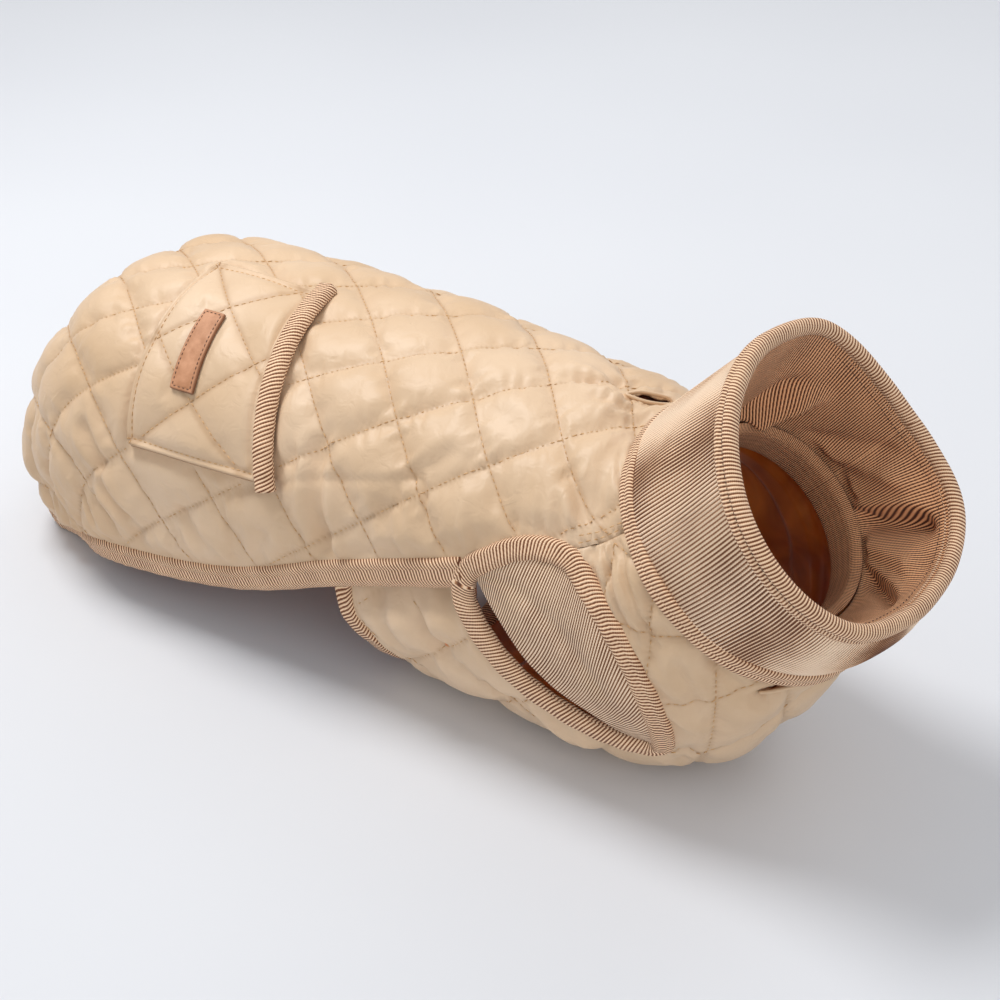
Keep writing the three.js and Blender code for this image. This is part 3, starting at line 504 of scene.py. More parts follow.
def add_node(tree: bpy.types.NodeTree, kind: str, settings: dict | None = None,
             inputs: dict | None = None,
             stops: Sequence[tuple[float, str]] = ()) -> bpy.types.Node:
    """Adds a node with its settings, values and links.

    Args:
        tree: The node tree.
        kind: The node's type name.
        settings: Properties of the node.
        inputs: Socket name or number to a value, or to an output socket to link from.
        stops: A colour ramp's places from 0 to 1 and their colours.

    Returns:
        The new node.
    """
    node = tree.nodes.new(kind)
    for name, value in (settings or {}).items():
        setattr(node, name, value)
    for name, value in (inputs or {}).items():
        socket = node.inputs[name]
        if isinstance(value, bpy.types.NodeSocket):
            tree.links.new(value, socket)
        else:
            socket.default_value = value
    for k, (place, colour) in enumerate(stops):
        elements = node.color_ramp.elements
        element = elements[k] if k < len(elements) else elements.new(place)
        element.position, element.color = place, linear(colour)
    return node


def fresh(name: str, roughness: float, sheen: float = 0.0
          ) -> tuple[bpy.types.Material, bpy.types.NodeTree, bpy.types.Node]:
    """Makes a material with an empty tree and its surface shader.

    Args:
        name: The material's name.
        roughness: How matte it is.
        sheen: How much soft light its fibres catch.

    Returns:
        The material, its tree and its surface shader.
    """
    material = bpy.data.materials.new(name)
    material.use_nodes = True
    tree = material.node_tree
    tree.nodes.clear()
    shader = add_node(tree, "ShaderNodeBsdfPrincipled", inputs={
        "Roughness": roughness, "Sheen Weight": sheen})
    add_node(tree, "ShaderNodeOutputMaterial", inputs={"Surface": shader.outputs["BSDF"]})
    return material, tree, shader


@dataclass(frozen=True)
class QuiltSatin:
    """Polyester satin over wadding: soft gloss, fine weave, crinkled beside each stitch line, with
    painted shade along the stitch lines.
    """

    name: str = "satin_over_wadding"
    light: str = "#dcbf9f"
    middle: str = "#d0b08c"
    # Painted shade: the darker colour of the satin in the stitch valleys.
    seam: str = "#ad865f"
    roughness: float = 0.5
    sheen: float = 0.06
    crinkle_mm: float = 9.0
    # Real threads lie about 0.1 mm apart; the weave is drawn coarser so that it shows.
    weave_mm: float = 0.7

    def material(self) -> bpy.types.Material:
        """Builds the node material. The attribute "valley" is 1 on a stitch line, where the satin
        is mixed toward the seam colour as painted shade.

        Returns:
            The material.
        """
        material, tree, shader = fresh(self.name, self.roughness, self.sheen)
        place = add_node(tree, "ShaderNodeTexCoord").outputs["Object"]
        valley = add_node(tree, "ShaderNodeAttribute", {"attribute_name": "valley"}).outputs["Fac"]
        shade = add_node(tree, "ShaderNodeTexNoise", inputs={
            "Vector": place, "Scale": 14.0, "Detail": 3.0}).outputs["Fac"]
        cloth = add_node(tree, "ShaderNodeValToRGB", inputs={"Fac": shade},
                          stops=[(0.35, self.middle), (0.65, self.light)]).outputs["Color"]
        # Painted shade in the stitch valleys: the satin mixed toward the seam colour.
        colour = add_node(tree, "ShaderNodeMix", {"data_type": "RGBA"}, {
            "Factor": valley, 6: cloth, 7: linear(self.seam)}).outputs[2]
        tree.links.new(colour, shader.inputs["Base Color"])
        crinkle = add_node(tree, "ShaderNodeTexNoise", inputs={
            "Vector": place, "Scale": 1000 / self.crinkle_mm, "Detail": 2.0,
            "Distortion": 0.9}).outputs["Fac"]
        soft = add_node(tree, "ShaderNodeBump", inputs={
            "Strength": 0.55, "Distance": 0.0012, "Height": crinkle}).outputs["Normal"]
        weave = add_node(tree, "ShaderNodeTexNoise", inputs={
            "Vector": place, "Scale": 1000 / self.weave_mm, "Detail": 1.0}).outputs["Fac"]
        fine = add_node(tree, "ShaderNodeBump", inputs={
            "Strength": 0.12, "Distance": 0.0002, "Height": weave,
            "Normal": soft}).outputs["Normal"]
        tree.links.new(fine, shader.inputs["Normal"])
        return material


@dataclass(frozen=True)
class RibKnit:
    """Rib knit whose colour follows its height: painted highlight on the light ribs over painted
    shade in the dark grooves, with the loops showing along each rib.
    """

    name: str
    # The rib tops' colour with painted highlight, the knit's middle tone, and the grooves' colour
    # with painted shade.
    light: str
    middle: str
    groove: str
    pitch_mm: float = 2.0
    slant: float = 0.0
    loop_mm: float = 1.1
    roughness: float = 0.85
    sheen: float = 0.08

    def material(self) -> bpy.types.Material:
        """Builds the node material, which reads the piece's cloth map in metres.

        Returns:
            The material.
        """
        material, tree, shader = fresh(self.name, self.roughness, self.sheen)
        cloth = add_node(tree, "ShaderNodeUVMap", {"uv_map": "cloth"}).outputs["UV"]
        turned = add_node(tree, "ShaderNodeMapping", inputs={
            "Vector": cloth, "Rotation": (0.0, 0.0, math.radians(self.slant))}).outputs["Vector"]
        scale = 1000 * 2 * math.pi / (20 * self.pitch_mm)
        stripe = add_node(tree, "ShaderNodeTexWave", {
            "wave_type": "BANDS", "bands_direction": "X", "wave_profile": "SIN"}, {
            "Vector": turned, "Scale": scale, "Distortion": 0.9, "Detail": 2.0,
            "Detail Scale": 0.25}).outputs["Fac"]
        loops = add_node(tree, "ShaderNodeTexWave", {
            "wave_type": "BANDS", "bands_direction": "Y", "wave_profile": "SIN"}, {
            "Vector": turned, "Scale": 1000 * 2 * math.pi / (20 * self.loop_mm),
            "Distortion": 2.0, "Detail": 1.0, "Detail Scale": 0.4}).outputs["Fac"]
        # Random unevenness of the knit's height, which the ramp below also paints as shade.
        knit_unevenness = add_node(tree, "ShaderNodeTexNoise", inputs={
            "Vector": cloth, "Scale": 60.0, "Detail": 3.0}).outputs["Fac"]
        uneven_height = add_node(tree, "ShaderNodeMath", {"operation": "MULTIPLY_ADD"}, {
            0: knit_unevenness, 1: 0.5, 2: -0.25}).outputs[0]
        looped = add_node(tree, "ShaderNodeMath", {"operation": "MULTIPLY_ADD"}, {
            0: loops, 1: 0.16, 2: uneven_height}).outputs[0]
        height = add_node(tree, "ShaderNodeMath", {"operation": "ADD"}, {
            0: stripe, 1: looped}).outputs[0]
        # Painted highlight and shade: the colour runs from the groove colour at the lowest height
        # to the light colour at the highest.
        colour = add_node(tree, "ShaderNodeValToRGB", inputs={"Fac": height},
                          stops=[(0.16, self.groove), (0.5, self.middle),
                                 (0.84, self.light)]).outputs["Color"]
        tree.links.new(colour, shader.inputs["Base Color"])
        bump = add_node(tree, "ShaderNodeBump", inputs={
            "Strength": 0.8, "Distance": 0.0006, "Height": height}).outputs["Normal"]
        tree.links.new(bump, shader.inputs["Normal"])
        return material


@dataclass(frozen=True)
class LiningSatin:
    """Orange-brown acetate satin: smooth, glossy, with soft pulls across it, painted darker in
    their hollows as shade and lighter on their crests as sheen.
    """

    name: str = "acetate_lining"
    # Painted sheen on the pulls' crests and painted shade in their hollows.
    light: str = "#f08f34"
    dark: str = "#b85a16"
    roughness: float = 0.32
    sheen: float = 0.3

    def material(self) -> bpy.types.Material:
        """Builds the node material.

        Returns:
            The material.
        """
        material, tree, shader = fresh(self.name, self.roughness, self.sheen)
        place = add_node(tree, "ShaderNodeTexCoord").outputs["Object"]
        pulls = add_node(tree, "ShaderNodeTexNoise", inputs={
            "Vector": place, "Scale": 30.0, "Detail": 2.0, "Distortion": 1.2}).outputs["Fac"]
        # Painted shade and sheen: the colour follows the same pulls as the bump.
        colour = add_node(tree, "ShaderNodeValToRGB", inputs={"Fac": pulls},
                          stops=[(0.3, self.dark), (0.7, self.light)]).outputs["Color"]
        tree.links.new(colour, shader.inputs["Base Color"])
        bump = add_node(tree, "ShaderNodeBump", inputs={
            "Strength": 0.5, "Distance": 0.002, "Height": pulls}).outputs["Normal"]
        tree.links.new(bump, shader.inputs["Normal"])
        return material


@dataclass(frozen=True)
class LabelLeather:
    """Pressed cowhide: matte, fine pebbled grain, burnished darker at the cut edge."""

    name: str = "pressed_cowhide"
    light: str = "#cd9570"
    dark: str = "#ad7650"
    edge: str = "#6b4128"
    # The grain's pebbles are about 0.4 mm wide; they are drawn coarser so that they show.
    grain_mm: float = 0.9
    roughness: float = 0.58

    def material(self) -> bpy.types.Material:
        """Builds the node material. The attribute "valley" is 1 at the label's edge.

        Returns:
            The material.
        """
        material, tree, shader = fresh(self.name, self.roughness)
        place = add_node(tree, "ShaderNodeTexCoord").outputs["Object"]
        edge = add_node(tree, "ShaderNodeAttribute", {"attribute_name": "valley"}).outputs["Fac"]
        grain = add_node(tree, "ShaderNodeTexVoronoi", inputs={
            "Vector": place, "Scale": 1000 / self.grain_mm}).outputs["Distance"]
        mottle = add_node(tree, "ShaderNodeTexNoise", inputs={
            "Vector": place, "Scale": 160.0, "Detail": 4.0}).outputs["Fac"]
        hide = add_node(tree, "ShaderNodeValToRGB", inputs={"Fac": mottle},
                          stops=[(0.3, self.dark), (0.68, self.light)]).outputs["Color"]
        colour = add_node(tree, "ShaderNodeMix", {"data_type": "RGBA"}, {
            "Factor": edge, 6: hide, 7: linear(self.edge)}).outputs[2]
        tree.links.new(colour, shader.inputs["Base Color"])
        bump = add_node(tree, "ShaderNodeBump", inputs={
            "Strength": 0.3, "Distance": 0.0002, "Height": grain}).outputs["Normal"]
        tree.links.new(bump, shader.inputs["Normal"])
        return material


@dataclass(frozen=True)
class Thread:
    """Spun polyester sewing thread, golden beige, with its twist as fine bands."""

    name: str
    light: str
    dark: str
    roughness: float = 0.6
    sheen: float = 0.2

    def material(self) -> bpy.types.Material:
        """Builds the node material.

        Returns:
            The material.
        """
        material, tree, shader = fresh(self.name, self.roughness, self.sheen)
        place = add_node(tree, "ShaderNodeTexCoord").outputs["Object"]
        twist = add_node(tree, "ShaderNodeTexNoise", inputs={
            "Vector": place, "Scale": 700.0, "Detail": 1.0}).outputs["Fac"]
        colour = add_node(tree, "ShaderNodeValToRGB", inputs={"Fac": twist},
                          stops=[(0.35, self.dark), (0.65, self.light)]).outputs["Color"]
        tree.links.new(colour, shader.inputs["Base Color"])
        return material


@dataclass(frozen=True)
class StudioPaper:
    """Seamless background paper: matte and even."""

    name: str = "studio_paper"
    dark: str = "#d8dadf"
    light: str = "#dfe1e5"
    roughness: float = 0.9

    def material(self) -> bpy.types.Material:
        """Builds the node material.

        Returns:
            The material.
        """
        material, tree, shader = fresh(self.name, self.roughness)
        place = add_node(tree, "ShaderNodeTexCoord").outputs["Object"]
        fibre = add_node(tree, "ShaderNodeTexNoise", inputs={
            "Vector": place, "Scale": 3.0, "Detail": 1.0}).outputs["Fac"]
        colour = add_node(tree, "ShaderNodeValToRGB", inputs={"Fac": fibre},
                          stops=[(0.0, self.dark), (1.0, self.light)]).outputs["Color"]
        tree.links.new(colour, shader.inputs["Base Color"])
        return material


class Finish(Enum):
    """The finishes of the coat, each made once."""

    SATIN = QuiltSatin()
    # Rib knits: rib-top colour with painted highlight, middle tone, and groove colour with painted
    # shade.
    RIB = RibKnit("rib_straight", "#ffe3c5", "#cf9a6c", "#63381f", pitch_mm=1.75)
    BIAS = RibKnit("rib_on_the_bias", "#ffdcb8", "#cf9566", "#6a3b20", pitch_mm=1.7, slant=24.0)
    EDGE = RibKnit("rib_across_edges", "#ffdcb8", "#cf9566", "#6a3b20", pitch_mm=1.7, slant=8.0)
    INSIDE = RibKnit("rib_inside", "#ffc492", "#c5855a", "#482412", pitch_mm=1.4,
                     loop_mm=1.3)
    LINING = LiningSatin()
    LEATHER = LabelLeather()
    QUILT_THREAD = Thread("quilting_thread", "#d9b07c", "#b0834f")
    KNIT_THREAD = Thread("binding_thread", "#6b4a33", "#432a1a")

    def made(self) -> bpy.types.Material:
        """Returns the finish's material, built at its first use."""
        found = bpy.data.materials.get(self.value.name)
        return found or self.value.material()


# ---- mesh helpers


def outward_from_body(points: Array) -> Array:
    """Points away from the line through the middle of the body."""
    middle = to_row(np.array([0.0, 0.0, BODY_MIDDLE]))
    return (points - middle) * (0, 1, 1)


def bare_grid(name: str, rows: int, columns: int) -> tuple[bpy.types.Mesh, Array, Array]:
    """Makes a flat grid and gives each vertex's share of its length and width.

    Args:
        name: The mesh's name.
        rows: Faces along.
        columns: Faces across.

    Returns:
        The mesh, and each vertex's share along and across.
    """
    mesh = bpy.data.meshes.new(name)
    bm = bmesh.new()
    bmesh.ops.create_grid(bm, x_segments=rows, y_segments=columns, size=1.0)
    bm.to_mesh(mesh)
    bm.free()
    flat = np.empty(len(mesh.vertices) * 3, np.float32)
    mesh.vertices.foreach_get("co", flat)
    flat = flat.reshape(-1, 3).astype(float)
    return mesh, (flat[:, 0] + 1) / 2, (flat[:, 1] + 1) / 2


def put(mesh: bpy.types.Mesh, points: Array, cloth: Array | None = None) -> None:
    """Moves a mesh's vertices, in millimetres, and maps the cloth, in metres.

    Args:
        mesh: The mesh.
        points: Points in millimetres.
        cloth: The cloth map, in millimetres.
    """
    mesh.vertices.foreach_set("co", to_row(points).astype(np.float32).ravel())
    if cloth is not None:
        corners = np.empty(len(mesh.loops), np.int32)
        mesh.loops.foreach_get("vertex_index", corners)
        layer = mesh.uv_layers.new(name="cloth")
        layer.data.foreach_set("uv", (cloth[corners] * MILLIMETRE).astype(np.float32).ravel())
    mesh.update()


def face_away(mesh: bpy.types.Mesh, outward: Callable[[Array], Array]) -> None:
    """Turns an open sheet's faces over if most of them look the wrong way.

    Args:
        mesh: The mesh.
        outward: Gives the direction that the faces look in.
    """
    count = len(mesh.polygons)
    centres, normals = np.empty(count * 3, np.float32), np.empty(count * 3, np.float32)
    mesh.polygons.foreach_get("center", centres)
    mesh.polygons.foreach_get("normal", normals)
    centres = centres.reshape(-1, 3)
    if (outward(centres) * normals.reshape(-1, 3)).sum() < 0:
        mesh.flip_normals()


def finish_piece(mesh: bpy.types.Mesh, finishes: Sequence[Finish],
                 replaces: Sequence[str] = (), thickness: float = 0.0,
                 offset: float = -1.0) -> bpy.types.Object:
    """Turns a mesh into a piece of the coat.

    Args:
        mesh: The finished mesh, in the frame's metres.
        finishes: Its finishes; a second one is for the inside of the wall.
        replaces: CAD nodes that it stands for.
        thickness: The wall added to an open sheet, in millimetres.
        offset: Which side of the sheet the wall goes to.

    Returns:
        The piece.
    """
    piece = bpy.data.objects.new(mesh.name, mesh)
    bpy.context.scene.collection.objects.link(piece)
    for finish in finishes:
        mesh.materials.append(finish.made())
    mesh.polygons.foreach_set("use_smooth", np.ones(len(mesh.polygons), bool))
    if thickness:
        wall = piece.modifiers.new("wall", "SOLIDIFY")
        wall.thickness = thickness * MILLIMETRE
        wall.offset = offset
        wall.material_offset = len(finishes) - 1
    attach(piece, "root")
    if replaces:
        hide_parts(*replaces)
    log.info("%s: %d faces", piece.name, len(mesh.polygons))
    return piece


def mark(mesh: bpy.types.Mesh, values: Array) -> None:
    """Stores how near each vertex lies to a stitch line or an edge; the satin darkens there as
    painted shade, and the leather takes its darker edge colour.
    """
    layer = mesh.attributes.new("valley", "FLOAT", "POINT")
    layer.data.foreach_set("value", values.astype(np.float32))


def sheet_mesh(name: str, rows: int, columns: int, place: Placing,
               outward: Callable[[Array], Array] = outward_from_body,
               closed: bool = False) -> bpy.types.Mesh:
    """Builds a sheet from a grid and a function that places it.

    Args:
        name: The mesh's name.
        rows: Faces along the sheet.
        columns: Faces across it.
        place: Gives points and cloth map, in millimetres, from shares along and across.
        outward: Gives the direction that the faces look in.
        closed: Whether the last column joins the first.

    Returns:
        The mesh.
    """
    mesh, f, g = bare_grid(name, rows, columns)
    points, cloth = place(f, g)
    put(mesh, points, cloth)
    if closed:
        merged(mesh)
    face_away(mesh, outward)
    return mesh


def merged(mesh: bpy.types.Mesh) -> None:
    """Joins the first and last columns of a sheet that closes on itself.

    Args:
        mesh: The mesh.
    """
    bm = bmesh.new()
    bm.from_mesh(mesh)
    bmesh.ops.remove_doubles(bm, verts=bm.verts[:], dist=2e-6)
    bm.to_mesh(mesh)
    bm.free()


def bar_mesh(name: str, rows: int, columns: int, place: Placing, closed: bool) -> bpy.types.Mesh:
    """Builds a closed bar from a grid that wraps round its section, with its ends filled.

    Args:
        name: The mesh's name.
        rows: Faces along.
        columns: Faces across.
        place: Gives points and cloth map from shares along and across.
        closed: Whether it joins up along its length.

    Returns:
        The mesh.
    """
    mesh, f, g = bare_grid(name, rows, columns)
    points, cloth = place(f, g)
    put(mesh, points, cloth)
    merged(mesh)
    bm = bmesh.new()
    bm.from_mesh(mesh)
    if not closed:
        rims = [edge for edge in bm.edges if edge.is_boundary]
        bmesh.ops.edgeloop_fill(bm, edges=rims)
    bmesh.ops.recalc_face_normals(bm, faces=bm.faces[:])
    bm.to_mesh(mesh)
    bm.free()
    return mesh


def trimmed(mesh: bpy.types.Mesh, keep: Array) -> tuple[Array, Array]:
    """Deletes the faces of a sheet that reach past its cut edge.

    Args:
        mesh: The sheet.
        keep: Whether each vertex may stay.

    Returns:
        The old numbers of the vertices that are left, and which of them lie on an edge.
    """
    bm = bmesh.new()
    bm.from_mesh(mesh)
    number = bm.verts.layers.int.new("number")
    for k, vert in enumerate(bm.verts):
        vert[number] = k
    gone = [face for face in bm.faces if not all(keep[v.index] for v in face.verts)]
    bmesh.ops.delete(bm, geom=gone, context="FACES")
    left = np.array([v[number] for v in bm.verts])
    rim = np.array([any(edge.is_boundary for edge in v.link_edges) for v in bm.verts])
    bm.verts.layers.int.remove(number)
    bm.to_mesh(mesh)
    bm.free()
    return left, rim


@dataclass
class Stitching:
    """Rows of stitches, each one a bead of thread sunk at both ends; sizes in millimetres."""

    name: str
    finish: Finish
    length: float = 2.6
    pitch: float = 3.6
    radius: float = 0.3
    middles: list[Array] = field(default_factory=list)
    along: list[Array] = field(default_factory=list)
    up: list[Array] = field(default_factory=list)

    def run(self, points: Array, normals: Array) -> None:
        """Sews a row of stitches along a line of points on the cloth.

        Args:
            points: Points in millimetres.
            normals: The cloth's normals there.
        """
        way = lengths(points)
        count = int(way[-1] / self.pitch)
        if count < 1:
            return
        at = (np.arange(count) + 0.5) * way[-1] / count
        middle = np.stack([np.interp(at, way, points[:, k]) for k in range(3)], 1)
        ahead = np.stack([np.interp(at + 0.6, way, points[:, k]) for k in range(3)], 1)
        behind = np.stack([np.interp(at - 0.6, way, points[:, k]) for k in range(3)], 1)
        self.middles.append(middle)
        self.along.append(unit(ahead - behind))
        self.up.append(unit(np.stack([np.interp(at, way, normals[:, k]) for k in range(3)], 1)))

    def build(self, slot: str) -> bpy.types.Object:
        """Copies one bead to every stitch.

        Args:
            slot: Not used.

        Returns:
            The piece.
        """
        bm = bmesh.new()
        bmesh.ops.create_uvsphere(bm, u_segments=6, v_segments=4, radius=1.0)
        bmesh.ops.scale(bm, vec=(self.radius, self.radius, self.length / 2), verts=bm.verts[:])
        bead = bpy.data.meshes.new("bead")
        bm.to_mesh(bead)
        bm.free()
        shape = np.array([v.co for v in bead.vertices])
        faces = [tuple(p.vertices) for p in bead.polygons]
        middles, along, up = (np.concatenate(x) for x in (self.middles, self.along, self.up))
        aside = unit(np.cross(up, along))
        up = np.cross(along, aside)
        points = (middles[:, None] + shape[None, :, :1] * aside[:, None]
                  + shape[None, :, 1:2] * up[:, None] + shape[None, :, 2:] * along[:, None])
        every = [tuple(v + k * len(shape) for v in face)
                 for k in range(len(middles)) for face in faces]
        mesh = bpy.data.meshes.new(self.name)
        mesh.from_pydata(to_row(points.reshape(-1, 3)).tolist(), [], every)
        bpy.data.meshes.remove(bead)
        return finish_piece(mesh, [self.finish])


@dataclass(frozen=True)
class Crease:
    """A soft fold pressed into the cloth between two places."""

    start: tuple[float, float]
    end: tuple[float, float]
    depth: float
    width: float

    def at(self, u: Array, deg: Array) -> Array:
        """Gives the height that the fold adds, in millimetres: a trough with raised banks.

        Args:
            u: Stations.
            deg: Degrees from the spine.

        Returns:
            Heights in millimetres.
        """
        a = np.array(self.start) * (STATION, DEGREE)
        b = np.array(self.end) * (STATION, DEGREE)
        flat = np.stack([u * STATION, deg * DEGREE], 1)
        edge = b - a
        share = ((flat - a) @ edge) / (edge @ edge)
        near = a + np.clip(share, 0, 1)[:, None] * edge
        gap = np.linalg.norm(flat - near, axis=1) / self.width
        fade = smooth(1 - np.abs(2 * share - 1) ** 3 + 0.15)
        return self.depth * fade * (-np.exp(-gap ** 2) + 0.45 * np.exp(-((gap - 1.9) / 0.8) ** 2))


CREASES = (
    Crease((5.86, -50), (6.08, -98), 4.2, 4.0),
    Crease((3.4, -66), (3.74, -82), 3.4, 4.5),
    Crease((3.6, -84), (4.0, -100), 3.2, 4),
    Crease((2.2, -80), (2.5, -100), 2.4, 4.5),
    Crease((3.0, -90), (3.2, -108), 2.4, 3.5),
    Crease((6.5, -62), (6.9, -40), 2.0, 4),
    Crease((8.0, -34), (8.9, -48), 1.8, 4),
    Crease((9.4, -20), (10.2, -46), 1.6, 4),
    Crease((7.1, 1), (8.2, 8), 2.6, 4),
    Crease((7.6, -6), (8.5, 1), 1.8, 3.5),
    Crease((7.3, 12), (8.1, 10), 1.6, 3.5),
    Crease((6.6, -20), (7.3, -30), 1.2, 6),
    Crease((4.6, -86), (4.9, -104), 2.4, 4),
    Crease((5.5, -84), (5.4, -102), 2.2, 4),
)
CHEST_CREASES = (
    Crease((6.35, -96), (6.6, -118), 3.0, 4),
    Crease((6.7, -98), (7.05, -118), 3.4, 4),
    Crease((6.9, -86), (7.1, -100), 2.2, 3.5),
    Crease((7.2, -118), (7.9, -136), 2.4, 4.5),
    Crease((9.42, -60), (9.3, -92), 2.0, 3.5),
    Crease((9.75, -64), (9.55, -96), 2.6, 3.5),
    Crease((9.7, -104), (9.4, -128), 2.2, 4),
    Crease((10.0, -110), (9.8, -134), 2.6, 3.5),
    Crease((9.1, -134), (8.6, -146), 2.2, 4),
)
SEAM_PATCH = np.array([(5.12, -108), (5.14, -91), (5.12, -80), (5.36, -73), (5.53, -71), (5.8, -66),
                       (6.13, -62), (6.41, -58.5), (6.68, -54), (6.82, -66), (6.96, -77)])


@dataclass
class QuiltedPanel:
    """A quilted panel: satin over wadding, stitched in diamonds, lined on its inside.

    Its outline is the cut edge; its holes are openings with the widths of their bindings.
    """

    name: str
    lattice: BackQuilt | ChestQuilt
    outline: Outline
    holes: Sequence[tuple[Outline, float]]
    seed: float
    puff: float = 4.3
    fade: float = 12.0
    thickness: float = 1.6
    leg_cover: float = 3.6
    slit_cover: float = 0.3
    pull_height: float = 1.65
    drift_height: float = 1.1
    gather_height: float = 3.0

    def __post_init__(self) -> None:
        """Keeps the body that the lattice lies on."""
        self.form = self.lattice.form

    def reach(self, u: Array, deg: Array) -> tuple[Array, Array, Array]:
        """Gives how far inside its edges a place lies.

        Args:
            u: Stations.
            deg: Degrees.

        Returns:
            The distance to the edges, the nearest place on them, and the distance to the
            bindings that cover them.
        """
        best, near = self.outline.probe(u, deg)
        free = best - self.cover(near)
        for hole, cover in self.holes:
            distance, place = hole.probe(u, deg)
            closer = -distance < best
            free = np.minimum(free, -distance - cover)
            best = np.where(closer, -distance, best)
            near = np.where(closer[:, None], place, near)
        return best, near, free

    def cover(self, near: Array) -> Array:
        """Gives how wide the binding is at places on the cut edge."""
        return np.ones(len(near))

    def base(self, at: Places) -> Array:
        """Gives the height of the cloth's ground before its quilting."""
        return np.zeros_like(at.u)

    def relief(self, at: Places) -> Array:
        """Gives the height that this panel's own folds add."""
        return np.zeros_like(at.u)

    def strength(self, at: Places) -> Array:
        """Gives how much of its puff each place keeps."""
        return np.ones_like(at.u)

    def lift(self, at: Places, free: Array) -> Array:
        """Gives the height of the cloth over the body, in millimetres.

        Args:
            at: The places.
            free: Their distance from the bindings.

        Returns:
            The height of the cloth's outer face.
        """
        a, b = at.row - (at.side + self.lattice.shift), at.row + at.side + self.lattice.shift
        da, db = np.abs(a - np.round(a)), np.abs(b - np.round(b))
        shape = (1 - (1 - 2 * da) ** self.lattice.pinch) * (1 - (1 - 2 * db) ** self.lattice.pinch)
        full = 1 + 0.16 * chance(np.floor(a), np.floor(b), self.seed)
        hold = smooth((free + 1) / self.fade) * self.strength(at)
        pulls = np.zeros_like(a)
        for line, other, gap, seed in ((a, b, da, 3.1), (b, a, db, 8.7)):
            beside = np.exp(-(gap / 0.19) ** 2) * (1 - np.exp(-(gap / 0.04) ** 2))
            skew = other * 11.0 + (line - np.round(line)) * 2.5
            pulls += beside * waver(skew, np.round(line) * 5.3, self.seed + seed)
        drift = (waver(at.u * 2.3, at.deg / 21, self.seed + 5)
                 + 0.5 * waver(at.u * 5, at.deg / 9, self.seed + 6))
        open_cloth = np.maximum(free, 0)
        edge = np.exp(-open_cloth / 13.0) * (1 - np.exp(-open_cloth / 1.6))
        along = at.u * STATION / 5.0 + at.deg * DEGREE / 16
        gather = edge * waver(along, at.deg * DEGREE / 30, self.seed + 9)
        quilt = self.puff * hold * shape * full
        return (self.base(at) + quilt + self.pull_height * pulls * hold
                + self.drift_height * drift * hold
                + self.gather_height * gather + self.relief(at) * smooth(free / 4))

    def valley(self, at: Places) -> Array:
        """Gives the strength of the painted shade along the stitch lines: 1 on a stitch line,
        fading within about two millimetres.

        Args:
            at: Places on the cloth.

        Returns:
            Values from 0 to 1.
        """
        a, b = at.row - (at.side + self.lattice.shift), at.row + at.side + self.lattice.shift
        gap = np.minimum(np.abs(a - np.round(a)), np.abs(b - np.round(b)))
        return 0.4 * np.exp(-(gap / 0.024) ** 2) * self.strength(at)

    def build(self, stitches: Stitching, node: str) -> bpy.types.Object:
        """Cuts, quilts and lines the panel, and sews its stitch lines.

        Args:
            stitches: Takes the stitches of the quilting.
            node: The CAD node that the panel stands for.

        Returns:
            The panel.
        """
        lattice = self.lattice
        rows = (lattice.rows[1] - lattice.rows[0]) * lattice.cells
        columns = (lattice.sides[1] - lattice.sides[0]) * lattice.cells
        mesh, f, g = bare_grid(self.name, rows, columns)
        at = lattice.at(mix(*lattice.rows, f), mix(*lattice.sides, g))
        cell = 60.0 / lattice.cells
        inside, _, _ = self.reach(at.u, at.deg)
        keep = inside > -0.5 * cell
        left, rim = trimmed(mesh, keep)
        at = Places(at.u[left], at.deg[left], at.s[left], at.row[left], at.side[left])
        inside, near, free = self.reach(at.u, at.deg)
        edge = rim & (np.abs(inside) < 2.2 * cell)
        at.u[edge], at.deg[edge] = near[edge, 0], near[edge, 1]
        put(mesh, self.form.lifted(at.u, at.deg, self.lift(at, free)),
            np.stack([at.u * STATION, at.deg * DEGREE], 1))
        face_away(mesh, outward_from_body)
        mark(mesh, self.valley(at))
        self.sew(stitches)
        return finish_piece(mesh, [Finish.SATIN, Finish.LINING], [node],
                            self.thickness)

    def sew(self, stitches: Stitching) -> None:
        """Sews every line of the lattice where it lies on the panel.

        Args:
            stitches: Takes the rows of stitches.
        """
        lattice = self.lattice
        reach = lattice.rows[1] - lattice.rows[0] + lattice.sides[1] - lattice.sides[0]
        for turn in (1, -1):
            for line in range(-reach, reach + 1):
                row = np.arange(lattice.rows[0], lattice.rows[1], 0.01)
                side = turn * (line - row)
                on = (side > lattice.sides[0]) & (side < lattice.sides[1])
                if on.sum() < 5:
                    continue
                at = lattice.at(row[on], side[on])
                _, _, free = self.reach(at.u, at.deg)
                show = (free > 1) & (self.strength(at) > 0.5)
                lift = self.lift(at, free) + 0.12
                points = self.form.lifted(at.u, at.deg, lift)
                normals = self.form.normals(at.u, at.deg)
                for part in stretches(show, 8):
                    stitches.run(points[part], normals[part])


